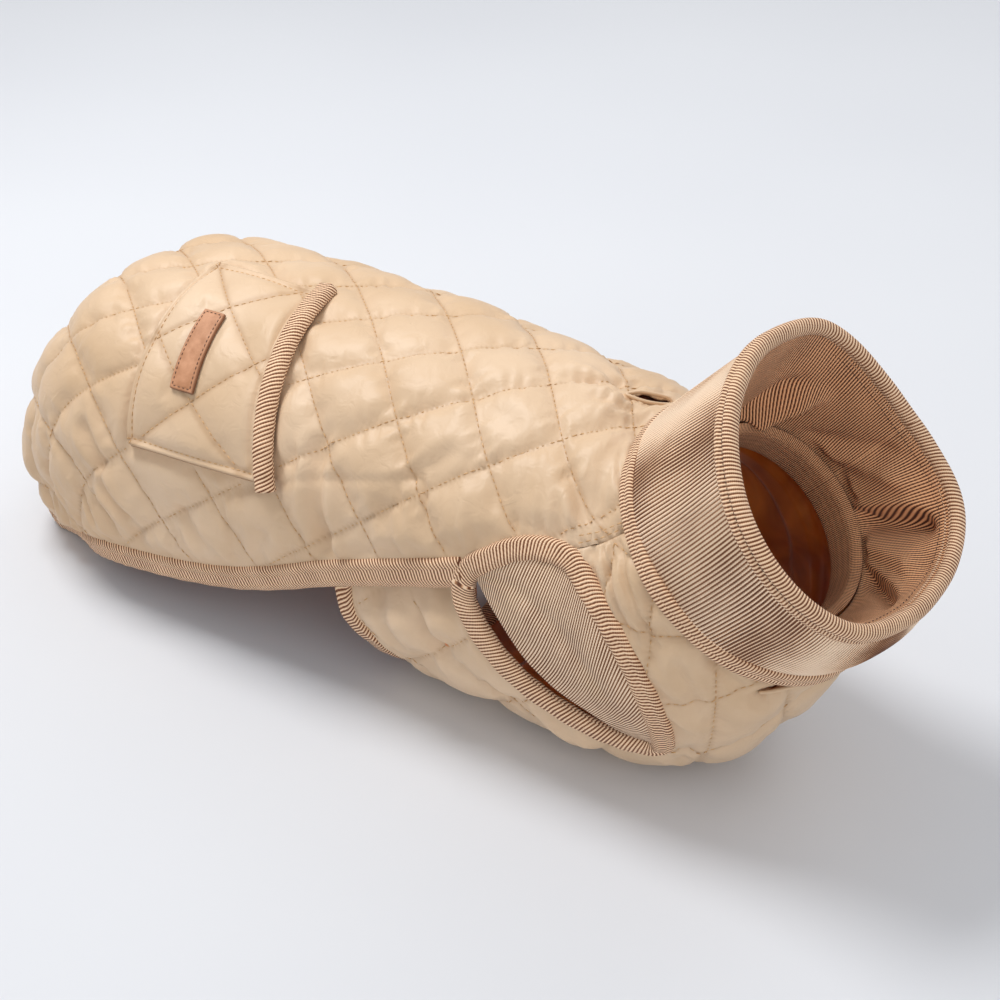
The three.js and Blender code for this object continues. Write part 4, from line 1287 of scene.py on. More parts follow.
class BackPanel(QuiltedPanel):
    """The back: from the tail's hem to the neck, with a slit for a lead behind the collar."""

    def __init__(self, form: BodyForm) -> None:
        """Sets the outline: the right edge forward, the left edge back.

        Args:
            form: The body.
        """
        right = BACK_EDGE * (1, -1)
        outline = Outline(np.concatenate([right, BACK_EDGE[::-1]]))
        holes = [(Outline(leg_line(side)), self.leg_cover) for side in (RIGHT_SIDE, LEFT_SIDE)]
        holes.append((Outline(LEAD_SLIT.line()), self.slit_cover))
        super().__init__("back_cloth", BackQuilt(form), outline, holes, 1.0)

    def cover(self, near: Array) -> Array:
        """Gives the width of the hem's binding, which ends at the leg openings."""
        return mix(4.0, 1.2, smooth((near[:, 0] - 7.1) / 0.3))

    def strength(self, at: Places) -> Array:
        """Flattens the quilting under the pocket.

        Args:
            at: Places on the cloth.

        Returns:
            Shares from 0 to 1.
        """
        across = (at.deg - Pocket.upper) / Pocket.deep
        share = np.clip(across, 0, 1)
        rear, front = mix(*Pocket.rear, share), mix(*Pocket.front, share)
        along = (at.u - rear) / (front - rear)
        inside = np.minimum.reduce([along + 0.1, 1.14 - along, across + 0.07, 1.08 - across])
        return 1 - 0.8 * smooth(inside / 0.07)

    def sew(self, stitches: Stitching) -> None:
        """Sews the quilting and the topstitch along the shoulder seams.

        Args:
            stitches: Takes the rows of stitches.
        """
        super().sew(stitches)
        u = np.linspace(8.6, 10.9, 120)
        for side in (RIGHT_SIDE, LEFT_SIDE):
            for inset in (1.4, 3.6):
                deg = side * (back_edge(u) - inset)
                points = self.form.lifted(u, deg, 0.5 + 0.2 * inset)
                stitches.run(points, self.form.normals(u, deg))

    def relief(self, at: Places) -> Array:
        """Adds the folds seen on the right flank and at the neck.

        Args:
            at: Places on the cloth.

        Returns:
            Heights in millimetres.
        """
        total = sum(crease.at(at.u, at.deg) for crease in CREASES)
        step = rounded_line(SEAM_PATCH, 120)
        flat = np.stack([at.u * STATION, at.deg * DEGREE], 1)
        near = np.full(len(flat), np.inf)
        for place in step * (STATION, DEGREE):
            near = np.minimum(near, np.hypot(*(flat - place).T))
        return total - 1.3 * np.exp(-(near / 1.8) ** 2)

    def lift(self, at: Places, free: Array) -> Array:
        """Adds the slit's banks to the height of the cloth."""
        return super().lift(at, free) + LEAD_SLIT.banks(at.u, at.deg)


class ChestPanel(QuiltedPanel):
    """The breast and belly, whose rear band runs inside the back panel."""

    def __init__(self, form: BodyForm) -> None:
        """Sets the outline: one upper edge forward, the neck, the other edge back.

        Args:
            form: The body.
        """
        upper = CHEST_EDGE
        other = np.stack([upper[:, 0], 360 - upper[:, 1]], 1)
        outline = Outline(np.concatenate([upper[::-1], belly_edge(60), other]))
        holes = [(Outline(leg_line(LEFT_SIDE)), self.leg_cover),
                 (Outline(leg_line(RIGHT_SIDE) + (0, 360)), self.leg_cover),
                 (Outline(CHEST_SLIT.line()), self.slit_cover)]
        super().__init__("chest_cloth", ChestQuilt(form), outline, holes, 4.0)

    def cover(self, near: Array) -> Array:
        """Gives the width of the belly's binding, on the rear edge alone."""
        return mix(3.6, 1.2, smooth((near[:, 0] - 6.45) / 0.1))

    def base(self, at: Places) -> Array:
        """Dips the band under the back panel's hem."""
        return chest_dip(at.u, at.deg)

    def relief(self, at: Places) -> Array:
        """Adds the folds of the slack belly and below the collar on the right."""
        deg = np.where(at.deg > 180, at.deg - 360, at.deg)
        return sum(crease.at(at.u, deg) for crease in CHEST_CREASES)

    def strength(self, at: Places) -> Array:
        """Flattens the quilting where the band is tucked in."""
        return 1 + 0.85 * chest_dip(at.u, at.deg) / TUCK


def chest_dip(u: Array, deg: Array) -> Array:
    """Gives how far the chest panel lies inside the back panel, as a height below 0.

    Args:
        u: Stations.
        deg: Degrees from the spine.

    Returns:
        Heights in millimetres.
    """
    folded = np.where(np.abs(deg) > 180, 360 - np.abs(deg), np.abs(deg))
    past = folded - back_edge(np.minimum(u, 7.15)) - 9
    return -TUCK * (1 - smooth(past / 14)) * (1 - smooth((u - 7.1) / 0.5))


@dataclass
class Band:
    """A folded rib binding along a line on the cloth, stitched near its inner edge."""

    name: str
    node: str
    line: Array
    way: int
    near: float
    width: float
    low: float
    high: float
    closed: bool = False
    dip: Callable[[Array, Array], Array] | None = None
    groove: float = 5.0
    square: float = 3.2
    bend: float = 75.0

    def frame(self, form: BodyForm) -> tuple[Array, Array, Array]:
        """Gives points on the body, their normals and the way across the band.

        Args:
            form: The body.

        Returns:
            Points, normals and unit vectors aside.
        """
        u, deg = self.line[:, 0], self.line[:, 1]
        points, normals = form.points(u, deg), form.normals(u, deg)
        if self.closed:
            along = np.roll(points, -1, 0) - np.roll(points, 1, 0)
        else:
            along = np.gradient(points, axis=0)
        aside = unit(np.cross(normals, unit(along))) * self.way
        return points, normals, aside

    def limits(self, points: Array, aside: Array) -> Array:
        """Gives how far the band may reach aside before it would cross itself in a bend.

        Args:
            points: Points of the line.
            aside: The way across the band.

        Returns:
            The longest reach at each point.
        """
        if not self.closed:
            return np.full(len(points), NO_LIMIT)
        step = np.linalg.norm(np.roll(points, -1, 0) - points, axis=1)
        shift = np.roll(points + aside, -1, 0) - (points + aside)
        shrink = (step - np.linalg.norm(shift, axis=1)) / np.maximum(step, 1e-6)
        reach = np.where(shrink > 1e-4, 0.8 / np.maximum(shrink, 1e-4), NO_LIMIT)
        for _ in range(3):
            reach = np.minimum(reach, 0.5 * (np.roll(reach, 1) + np.roll(reach, -1)) + 1.2)
        return reach

    def build(self, form: BodyForm, stitches: Stitching) -> bpy.types.Object:
        """Sweeps the band's section along its line and sews its stitch line.

        Args:
            form: The body.
            stitches: Takes the rows of stitches.

        Returns:
            The piece.
        """
        points, normals, aside = self.frame(form)
        limit = self.limits(points, aside)
        u, deg = self.line[:, 0], self.line[:, 1]
        dip = self.dip(u, deg) if self.dip else np.zeros(len(u))
        count = len(points)
        arc = lengths(points)

        def offset(index: Array, out: Array, lift: Array) -> Array:
            """Places a point of the section at some steps along the line.

            Args:
                index: Steps along the line.
                out: Distances aside.
                lift: Heights over the body.

            Returns:
                Points in millimetres.
            """
            low = np.floor(index).astype(int)
            share = (index - low)[:, None]
            a, b = low % count, (low + 1) % count if self.closed else np.minimum(low + 1, count - 1)
            here = mix(points[a], points[b], share)
            up = unit(mix(normals[a], normals[b], share))
            over = unit(mix(aside[a], aside[b], share))
            cap = mix(limit[a], limit[b], share[:, 0])
            out = np.minimum(out, cap)
            sink = out * np.abs(out) / (2 * self.bend)
            height = lift + mix(dip[a], dip[b], share[:, 0]) - np.maximum(sink, 0)
            placed = here + over * out[:, None] + up * height[:, None]
            placed[:, 2] = np.maximum(placed[:, 2], 0)
            return placed

        rows = count if self.closed else count - 1

        def place(f: Array, g: Array) -> tuple[Array, Array]:
            """Wraps the grid round the section.

            Args:
                f: Shares along.
                g: Shares across.

            Returns:
                Points and cloth map, in millimetres.
            """
            index = f * (count if self.closed else count - 1)
            turn = 2 * np.pi * g
            c, s = np.cos(turn), np.sin(turn)
            half, tall = self.width / 2, (self.high - self.low) / 2
            out = self.near + half + half * np.sign(c) * np.abs(c) ** (2 / self.square)
            rise = np.sign(s) * np.abs(s) ** (2 / self.square)
            lift = (self.high + self.low) / 2 + tall * rise
            reach = np.clip(out - self.near, 0, self.width)
            first = np.clip(reach / self.groove, 0, 1)
            second = np.clip((reach - self.groove) / (self.width - self.groove), 0, 1)
            roll = np.sqrt(np.sin(np.pi * first)) + np.sqrt(np.sin(np.pi * second))
            lift += np.where(s > 0, 1.4 * np.clip(roll, 0, 1) - 0.9, 0) * np.clip(s * 3, 0, 1)
            lift += 0.2 * np.sin(2 * np.pi * f * (rows // 7) + 2 * np.sin(turn))
            length = np.interp(index, np.arange(count), arc)
            return offset(index, out, lift), np.stack([length, g * 2 * (self.width + tall)], 1)

        mesh = bar_mesh(self.name, rows, 22, place, self.closed)
        every = np.arange(0, rows, 0.25)
        at = np.full(len(every), self.near + self.groove)
        seam = offset(every, at, np.full(len(every), self.high - 0.6))
        up = normals[np.minimum(every.astype(int), count - 1)]
        stitches.run(seam, up)
        return finish_piece(mesh, [Finish.BIAS], [self.node])


@dataclass
class Bindings:
    """The rib bindings of the hem, the belly's rear edge and the leg openings."""

    form: BodyForm
    proud: float = 1.7

    def hem_line(self) -> Array:
        """Gives the back panel's hem from the right leg opening round the tail to the left.

        Returns:
            Places as station and degrees.
        """
        show = BACK_EDGE[BACK_EDGE[:, 0] <= 7.16]
        right = show[::-1] * (1, -1)
        return rounded_line(np.concatenate([right, show]), 420)

    def build(self, stitches: Stitching) -> list[bpy.types.Object]:
        """Builds every binding.

        Args:
            stitches: Takes the rows of stitches.

        Returns:
            The pieces.
        """
        low, high = -WALL - self.proud, self.proud
        bands = [
            Band("hem_rib", "hem_binding", self.hem_line(), 1, -3.4, 15.6, low, high + 0.7),
            Band("belly_rib", "belly_binding", belly_edge(110), 1, -3.0, 12.2, low, high,
                 dip=chest_dip),
        ]
        for word, side in (("R", RIGHT_SIDE), ("L", LEFT_SIDE)):
            bands.append(Band(f"leg_rib_{word}", f"leg_binding_{word}", leg_line(side, 170),
                              side, -3.2, 11.9, low, high + 0.7, closed=True))
        return [band.build(self.form, stitches) for band in bands]


@dataclass
class Gusset:
    """The rib gusset that closes most of a leg opening, its free edge turned under."""

    form: BodyForm
    side: int
    sewn: int = 89

    def edges(self) -> tuple[Array, Array, Array]:
        """Gives the sewn edge, the rest of the opening's edge, and the free edge.

        Returns:
            The three lines, as station and degrees.
        """
        line = np.roll(leg_line(self.side), -6, axis=0)
        free = rounded_line(GUSSET_EDGE, 100) * (1, self.side)
        return line[:self.sewn], line[self.sewn - 1:], free

    def gap(self) -> Array:
        """Gives the outline of what the gusset leaves open."""
        _, rest, free = self.edges()
        return np.concatenate([rest, free])

    def build(self) -> bpy.types.Object:
        """Stretches the gusset from the opening's front edge to its free edge.

        Returns:
            The piece.
        """
        side, form = self.side, self.form
        front, _, free = self.edges()

        def place(f: Array, g: Array) -> tuple[Array, Array]:
            """Gives the gusset's points: ribs run across it.

            Args:
                f: Shares along.
                g: Shares across.

            Returns:
                Points and cloth map, in millimetres.
            """
            k = f * (len(front) - 1)
            a = np.stack([np.interp(k, np.arange(len(front)), front[:, c]) for c in (0, 1)], 1)
            b = np.stack([np.interp(f * 99, np.arange(100), free[:, c]) for c in (0, 1)], 1)
            span = np.linalg.norm((b - a) * (STATION, DEGREE), axis=1)
            at = mix(a, b, mix(np.minimum(6 / span, 0.6), 1.0, g)[:, None])
            belly = np.sin(np.pi * np.clip(g * 1.15, 0, 1)) * np.sin(np.pi * f)
            fold = np.exp(-((g - 0.42 - 0.25 * f) / 0.09) ** 2)
            fold = fold * np.sin(np.pi * np.clip(f * 1.1, 0, 1))
            lift = 0.4 + 2.4 * belly - 1.9 * fold + 0.5 * waver(f * 12, g * 2.5, 6.0)
            lift = lift - 1.2 * np.exp(-g / 0.05)
            return form.lifted(at[:, 0], at[:, 1], lift), np.stack([f * 158, g * 44], 1)

        word = "R" if side == RIGHT_SIDE else "L"
        mesh = sheet_mesh(f"gusset_rib_{word}", 110, 36, place)
        return finish_piece(mesh, [Finish.RIB], [f"leg_gusset_{word}"], 1.8)


@dataclass
class Pocket:
    """The patch pocket on the right flank, its rib roll and its bare leather label.

    Its rear and front edges are stations at its upper and lower end; the label's sizes are
    shares of its width and height.
    """

    form: BodyForm
    rear: tuple[float, float] = (4.0, 4.14)
    front: tuple[float, float] = (5.04, 5.48)
    upper: float = -4.0
    deep: float = -66.0
    lift: float = 3.0
    wall: float = 2.2
    puff: float = 3.0
    diamond: tuple[float, float] = (0.8, 0.46)
    crossing: tuple[float, float] = (0.48, 0.28)
    label_along: float = 0.41
    label_half: float = 0.095
    label_top: float = 0.33
    label_bottom: float = 0.71

    def diamonds(self, along: Array, across: Array) -> tuple[Array, Array]:
        """Counts the pocket's quilting lines, which lie on whole numbers.

        Args:
            along: Shares of its width.
            across: Shares of its height.

        Returns:
            Line counts in the two directions.
        """
        x = (along - self.crossing[0]) / self.diamond[0]
        y = (across - self.crossing[1]) / self.diamond[1]
        return x - y, x + y

    def cloth(self, along: Array, across: Array) -> tuple[Array, Array]:
        """Gives the station and degrees at shares of the pocket's width and height."""
        rear, front = mix(*self.rear, across), mix(*self.front, across)
        return mix(rear, front, along), self.upper + self.deep * across

    def top(self, along: Array, across: Array) -> Array:
        """Gives the height of the pocket's face over the body.

        Args:
            along: Shares of its width.
            across: Shares of its height.

        Returns:
            Heights in millimetres.
        """
        a, b = self.diamonds(along, across)
        da, db = np.abs(a - np.round(a)), np.abs(b - np.round(b))
        shape = (1 - (1 - 2 * da) ** 2.3) * (1 - (1 - 2 * db) ** 2.3)
        edge = np.minimum.reduce([along, 1 - along, across, 1 - across])
        aside = np.abs(along - self.label_along) - self.label_half
        beyond = np.maximum(self.label_top - across, across - self.label_bottom)
        clear = smooth(np.maximum(aside, beyond) / 0.08)
        pulls = waver(b * 6, np.round(a) * 3.0, 2.0) * np.exp(-(da / 0.2) ** 2)
        pulls += waver(a * 6, np.round(b) * 3.0, 7.0) * np.exp(-(db / 0.2) ** 2)
        rise = self.puff * shape * smooth(edge / 0.1) + 0.5 * pulls * smooth(edge / 0.06)
        hem = (1.3 * np.exp(-((edge - 0.012) / 0.014) ** 2)
               - 0.9 * np.exp(-((edge - 0.038) / 0.012) ** 2))
        return self.lift + self.wall + rise * (0.12 + 0.88 * clear) + hem

    def panel(self) -> bpy.types.Object:
        """Builds the quilted patch.

        Returns:
            The piece.
        """
        def place(f: Array, g: Array) -> tuple[Array, Array]:
            """Wraps the patch over the flank, with its edges turned down to the cloth.

            Args:
                f: Shares along.
                g: Shares across.

            Returns:
                Points and cloth map, in millimetres.
            """
            along, across = mix(-0.02, 1.0, f), mix(-0.015, 1.015, g)
            u, deg = self.cloth(along, across)
            edge = np.minimum.reduce([along + 0.02, across + 0.015, 1.015 - across])
            turn = smooth(edge / 0.03)
            lift = mix(0.6, self.top(np.clip(along, 0, 1), np.clip(across, 0, 1)), turn)
            return self.form.lifted(u, deg, lift), np.stack([u * STATION, deg * DEGREE], 1)

        mesh, f, g = bare_grid("pocket_cloth", 90, 110)
        points, cloth = place(f, g)
        put(mesh, points, cloth)
        face_away(mesh, outward_from_body)
        # Painted shade along the pocket's quilting lines, and a painted shadow along its turned
        # edges.
        a, b = self.diamonds(f, g)
        gap = np.minimum(np.abs(a - np.round(a)), np.abs(b - np.round(b)))
        rim = np.minimum.reduce([f, g, 1 - g])
        mark(mesh, np.maximum(0.5 * np.exp(-(gap / 0.04) ** 2), np.exp(-(rim / 0.018) ** 2)))
        return finish_piece(mesh, [Finish.SATIN, Finish.LINING],
                            ["pocket_panel"], 1.4)

    def sew(self, stitches: Stitching) -> None:
        """Sews the patch's quilting and its edge stitches.

        Args:
            stitches: Takes the rows of stitches.
        """
        runs = []
        t = np.linspace(0, 1, 160)
        for turn in (1, -1):
            for line in range(-3, 4):
                along = t
                across = self.crossing[1] + turn * self.diamond[1] * (
                    line - (along - self.crossing[0]) / self.diamond[0])
                runs.append((along, across, 0.05))
        inset = np.full(160, 0.035)
        runs += [(t, inset, 0.0), (t, 1 - inset, 0.0), (inset, t, 0.0)]
        for along, across, margin in runs:
            on = (along > margin) & (along < 1 - margin) & (across > margin) & (across < 1 - margin)
            label = (np.abs(along - self.label_along) < self.label_half + 0.01) & (
                across > self.label_top - 0.01) & (across < self.label_bottom + 0.01)
            show = on & ~label
            u, deg = self.cloth(along, across)
            points = self.form.lifted(u, deg, self.top(along, across) + 0.15)
            normals = self.form.normals(u, deg)
            for part in stretches(show, 6):
                stitches.run(points[part], normals[part])

    def roll(self, stitches: Stitching) -> bpy.types.Object:
        """Builds the rib roll on the pocket's open edge.

        Args:
            stitches: Takes the rows of stitches.

        Returns:
            The piece.
        """
        across = np.linspace(-0.025, 1.03, 90)
        u, deg = self.cloth(np.ones(90), across)
        line = np.stack([u, deg], 1)
        band = Band("pocket_rib", "pocket_roll", line, 1, -1.4, 11.0, 2.4, 8.6,
                    groove=3.4, square=2.3)
        return band.build(self.form, stitches)

    def label(self, stitches: Stitching) -> bpy.types.Object:
        """Builds the bare leather label with rounded corners and a stitched border.

        Args:
            stitches: Takes the rows of stitches.

        Returns:
            The piece.
        """
        low = self.lift + self.wall + 0.4
        wide, tall = 2 * self.label_half, self.label_bottom - self.label_top

        def place(f: Array, g: Array) -> tuple[Array, Array]:
            """Lays the label on the pocket.

            Args:
                f: Shares along.
                g: Shares across.

            Returns:
                Points and cloth map, in millimetres.
            """
            x, y = 2 * f - 1, 2 * g - 1
            pull = 1 - 0.035 * (np.abs(x) ** 8) * (np.abs(y) ** 8)
            along = self.label_along + 0.5 * wide * x * pull
            across = (self.label_top + self.label_bottom) / 2 + 0.5 * tall * y * (
                1 - 0.012 * (np.abs(x) ** 8) * (np.abs(y) ** 8))
            u, deg = self.cloth(along, across)
            edge = np.minimum(1 - np.abs(x), (1 - np.abs(y)) * 3.2)
            lift = low + 2.0 * smooth((edge + 0.04) / 0.12) + 0.1
            lift = lift - 0.25 * np.exp(-((edge - 0.26) / 0.05) ** 2)
            return self.form.lifted(u, deg, lift), np.stack([f * 13.5, g * 44], 1)

        mesh, f, g = bare_grid("label_leather", 40, 110)
        points, cloth = place(f, g)
        put(mesh, points, cloth)
        face_away(mesh, outward_from_body)
        edge = np.minimum(1 - np.abs(2 * f - 1), (1 - np.abs(2 * g - 1)) * 3.2)
        mark(mesh, 0.9 * np.exp(-(edge / 0.07) ** 2))
        piece = finish_piece(mesh, [Finish.LEATHER], ["label"], 1.2)
        t = np.linspace(-1, 1, 80)
        inset_x, inset_y = 0.74, 0.92
        for x, y in ((t * inset_x, np.full(80, -inset_y)), (t * inset_x, np.full(80, inset_y)),
                     (np.full(80, -inset_x), t * inset_y), (np.full(80, inset_x), t * inset_y)):
            along = self.label_along + 0.5 * wide * x
            across = (self.label_top + self.label_bottom) / 2 + 0.5 * tall * y
            u, deg = self.cloth(along, across)
            stitches.run(self.form.lifted(u, deg, low + 2.1), self.form.normals(u, deg))
        return piece


@dataclass(frozen=True)
class Ring:
    """A ring of the collar: centre, elevation of its axis in degrees, and the cloth's radius."""

    x: float
    z: float
    tilt: float
    radius: float

    def spread(self, angle: Array) -> tuple[Array, Array, Array, Array]:
        """Gives the ring's centre and tilt for each of some angles, and a share of 1."""
        full = np.ones_like(angle)
        return self.x * full, self.z * full, self.tilt * full, full


SEAM_ANGLES = np.linspace(0, 2 * np.pi, 900)
# The collar rim's outline: degrees from the dog's left, and radius.
RIM_SHAPE = np.array([
    (5, 63.5), (25, 65.5), (42, 71.2), (55, 75), (77, 71.5), (93, 71), (111, 69.6), (141, 69.8),
    (169, 71.6), (198, 72), (228, 72.3), (241, 70.8), (255, 68.4), (282, 69.2), (300, 72.9),
    (320, 76.6), (330, 75.5), (344, 68.8)])


@dataclass
class Collar:
    """The turned-down rib collar: outside, rim, lower edge, folded inside and neck band."""

    cuff_rings: tuple[Ring, ...] = (
        Ring(500, 176.1, 40.5, 69.5), Ring(478, 150.5, 46.5, 70.6), Ring(455, 124.3, 51, 69.6))
    funnel_rings: tuple[Ring, ...] = (
        Ring(467.4, 139.4, 47.4, 52), Ring(482, 155.5, 45, 58), Ring(500, 176.1, 40.5, 66.4))
    knit: float = 2.6
    ribs: int = 260
    rib_height: float = 0.28
    rib_pitch: float = 1.7
    rim_depth: float = 8.0
    rim_middle: float = 70.9

    def __post_init__(self) -> None:
        """Smooths the rim's outline, given as degrees from the dog's left and radius."""
        degrees = np.arange(360.0)
        radius = np.interp(degrees, RIM_SHAPE[:, 0], RIM_SHAPE[:, 1], period=360)
        weights = np.exp(-((np.arange(-20, 21)) / 7.0) ** 2)
        padded = np.concatenate([radius[-20:], radius, radius[:20]])
        self.outline = np.convolve(padded, weights / weights.sum(), mode="valid")

    def rim_radius(self, angle: Array) -> Array:
        """Gives the rim's outer radius at angles in radians."""
        return np.interp(np.degrees(angle) % 360, np.arange(360.0), self.outline, period=360)

    def ring(self, rings: Sequence[Ring], f: Array) -> tuple[Array, Array, Array, Array]:
        """Gives the ring part-way through three rings, by a curve through them.

        Args:
            rings: The three rings.
            f: Shares of the way through them.

        Returns:
            Its x, z, tilt and radius.
        """
        weight = [2 * (f - 0.5) * (f - 1), -4 * f * (f - 1), 2 * f * (f - 0.5)]
        return tuple(sum(getattr(ring, key) * w for ring, w in zip(rings, weight))
                     for key in ("x", "z", "tilt", "radius"))

    def points(self, ring: tuple[Array, Array, Array, Array], angle: Array, radius: Array,
               along: Array | float = 0.0) -> Array:
        """Places points on a ring at an angle and radius, moved along its axis.

        Args:
            ring: Its x, z, tilt and radius.
            angle: Angles in radians.
            radius: Radii.
            along: Distances along the axis.

        Returns:
            Points in millimetres.
        """
        x, z, tilt, _ = ring
        tilt = np.radians(tilt)
        high = np.sin(angle) * radius
        return np.stack([x - np.sin(tilt) * high + np.cos(tilt) * along,
                         np.cos(angle) * radius,
                         z + np.cos(tilt) * high + np.sin(tilt) * along], 1)

    def away(self, points: Array) -> Array:
        """Points away from the middle of the collar.

        Args:
            points: Points in metres.

        Returns:
            Vectors away from it.
        """
        ring = self.cuff_rings[1]
        middle = to_row(np.array([ring.x, 0.0, ring.z]))
        return points - middle

    def toward(self, points: Array) -> Array:
        """Points to the middle of the collar."""
        return -self.away(points)

    def cuff(self) -> bpy.types.Object:
        """Builds the outside of the collar, its ribs running from rim to hem.

        Returns:
            The piece.
        """
        def place(f: Array, g: Array) -> tuple[Array, Array]:
            """Wraps the ribs round the collar.

            Args:
                f: Shares along.
                g: Shares across.

            Returns:
                Points and cloth map, in millimetres.
            """
            angle = 2 * np.pi * g
            ring = self.ring(self.cuff_rings, f)
            rim = self.rim_radius(angle) - self.rim_middle
            radius = ring[3] + rim * smooth(1 - f * 1.1)
            degrees = np.degrees(angle)
            bulge = np.exp(-(((degrees - 296 + 180) % 360 - 180) / 26) ** 2)
            radius = radius + bulge * (5.5 * np.exp(-((f - 0.42) / 0.22) ** 2)
                                       - 3.2 * np.exp(-((f - 0.78) / 0.1) ** 2))
            radius = radius + waver(2.2 * np.cos(angle) + f, 2.2 * np.sin(angle) + 1.8 * f, 3.0)
            radius = radius - self.rib_height * np.cos(angle * self.ribs)
            along = mix(-self.rim_depth + 1, 7.0, f)
            cloth = np.stack([g * self.ribs * self.rib_pitch, f * 40], 1)
            return self.points(ring, angle, radius, along), cloth

        mesh = sheet_mesh("cuff_rib", 30, self.ribs * 6, place, self.away, closed=True)
        return finish_piece(mesh, [Finish.RIB], ["collar_cuff"], 1.0)

    def funnel(self) -> bpy.types.Object:
        """Builds the inside of the collar, with its deep folds.

        Returns:
            The piece.
        """
        folds = ((64, 26, 0.0, 0.74, 9.5, 6), (20, -30, 0.1, 0.95, 5.0, 8),
                 (333, 316, 0.0, 0.92, -10.0, 5), (300, 262, 0.0, 0.8, -6.0, 6),
                 (352, 335, 0.1, 0.9, 5.0, 9), (110, 92, 0.2, 0.9, 3.5, 12),
                 (318, 292, 0.05, 0.85, 5.0, 8), (180, 190, 0.0, 0.9, 4.0, 14),
                 (232, 226, 0.0, 0.9, 4.5, 12))

        def place(f: Array, g: Array) -> tuple[Array, Array]:
            """Shapes the folded inside, neck to rim.

            Args:
                f: Shares along.
                g: Shares across.

            Returns:
                Points and cloth map, in millimetres.
            """
            angle = 2 * np.pi * g
            ring = self.ring(self.funnel_rings, f)
            degrees = np.degrees(angle)
            radius = ring[3] - self.knit + (self.rim_radius(angle) - self.rim_middle) * smooth(f)
            for low, high, start, end, depth, width in folds:
                middle = mix(low, high, f)
                gap = ((degrees - middle + 180) % 360 - 180) / width
                fade = smooth((f - start) / 0.15) * smooth((end - f) / 0.25)
                radius = radius - depth * fade * (
                    np.exp(-gap ** 2) - 0.35 * np.exp(-((gap - 1.7) / 0.7) ** 2))
            ripple = waver(4.8 * np.cos(angle) + f, 4.8 * np.sin(angle) + 2 * f, 4.0)
            radius = radius + 1.2 * ripple * smooth(f * 5) * smooth((1 - f) * 5)
            along = mix(0.5, -self.rim_depth + 2.5, f)
            return self.points(ring, angle, radius, along), np.stack([g * 400, f * 46], 1)

        mesh = sheet_mesh("inside_rib", 60, 360, place, self.toward, closed=True)
        return finish_piece(mesh, [Finish.INSIDE], ["collar_funnel"], 1.6)

    def band(self, name: str, node: str, ring: Ring, section: Placing, finish: Finish,
             slot: str) -> bpy.types.Object:
        """Builds a band round a ring.

        Args:
            name: The piece's name.
            node: The CAD node that it stands for.
            ring: The ring that it follows.
            section: Gives radius and distance along the axis from angle and share round.
            finish: The knit.
            slot: Not used.

        Returns:
            The band.
        """
        def place(f: Array, g: Array) -> tuple[Array, Array]:
            """Wraps the section round the ring.

            Args:
                f: Shares along.
                g: Shares across.

            Returns:
                Points and cloth map, in millimetres.
            """
            angle = 2 * np.pi * f
            radius, along = section(angle, g)
            cloth = np.stack([f * 440, g * 34], 1)
            return self.points(ring.spread(angle), angle, radius, along), cloth

        mesh = bar_mesh(name, 360, 26, place, closed=True)
        return finish_piece(mesh, [finish], [node])

    def sew(self, stitches: Stitching, ring: Ring, edge: Array, place: tuple[float, float],
            above: tuple[float, float]) -> None:
        """Sews a seam round the collar.

        Args:
            stitches: Takes the rows of stitches.
            ring: The ring that it follows.
            edge: Radii that it keeps a distance from.
            place: That distance, and the distance along the axis.
            above: The same for a place above the cloth.
        """
        spot = ring.spread(SEAM_ANGLES)
        seam, over = (self.points(spot, SEAM_ANGLES, edge + out, along * spot[3])
                      for out, along in (place, above))
        stitches.run(seam, unit(over - seam))

    def rim(self, stitches: Stitching) -> bpy.types.Object:
        """Builds the rolled rim: two rolls with a stitched groove between them.

        Args:
            stitches: Takes the rows of stitches.

        Returns:
            The piece.
        """
        def section(angle: Array, g: Array) -> tuple[Array, Array]:
            """Gives the rim's rounded section.

            Args:
                angle: Angles in radians.
                g: Shares across.

            Returns:
                Radii and distances along the axis.
            """
            turn = 2 * np.pi * g
            c, s = np.cos(turn), np.sin(turn)
            outer = self.rim_radius(angle)
            wide = 4.1
            radius = outer - wide + 0.4 + wide * np.sign(c) * np.abs(c) ** 0.75
            along = -5.2 + 5.4 * np.sign(s) * np.abs(s) ** 0.8
            groove = 1.7 * np.exp(-((along + 5.2) / 0.9) ** 2)
            return radius - np.where(c > 0, groove, -0.8 * groove), along

        rim = self.band("rim_rib", "collar_rim", self.cuff_rings[0], section, Finish.EDGE,
                        "rib_knit")
        outer = self.rim_radius(SEAM_ANGLES)
        ring = self.cuff_rings[0]
        self.sew(stitches, ring, outer, (-1.1, -5.2), (5, -5.2))
        self.sew(stitches, ring, outer, (-8.5, -9.2), (-13, -8))
        return rim

    def hem(self, stitches: Stitching) -> bpy.types.Object:
        """Builds the bound lower edge of the collar.

        Args:
            stitches: Takes the rows of stitches.

        Returns:
            The piece.
        """
        def section(angle: Array, g: Array) -> tuple[Array, Array]:
            """Gives the lower edge's rounded section.

            Args:
                angle: Angles in radians.
                g: Shares across.

            Returns:
                Radii and distances along the axis.
            """
            turn = 2 * np.pi * g
            c, s = np.cos(turn), np.sin(turn)
            radius = 69.2 + 2.1 * np.sign(c) * np.abs(c) ** 0.8 + 0.3 * np.sin(angle * 9)
            along = 4.6 + 5.0 * np.sign(s) * np.abs(s) ** 0.7
            return radius - np.where(c > 0, 1.4 * np.exp(-((along - 5.4) / 0.8) ** 2), 0), along

        ring = self.cuff_rings[2]
        hem = self.band("cuff_hem_rib", "collar_hem", ring, section, Finish.EDGE, "rib_knit")
        self.sew(stitches, ring, 0.0 * SEAM_ANGLES, (70.2, 5.4), (75, 5.4))
        return hem

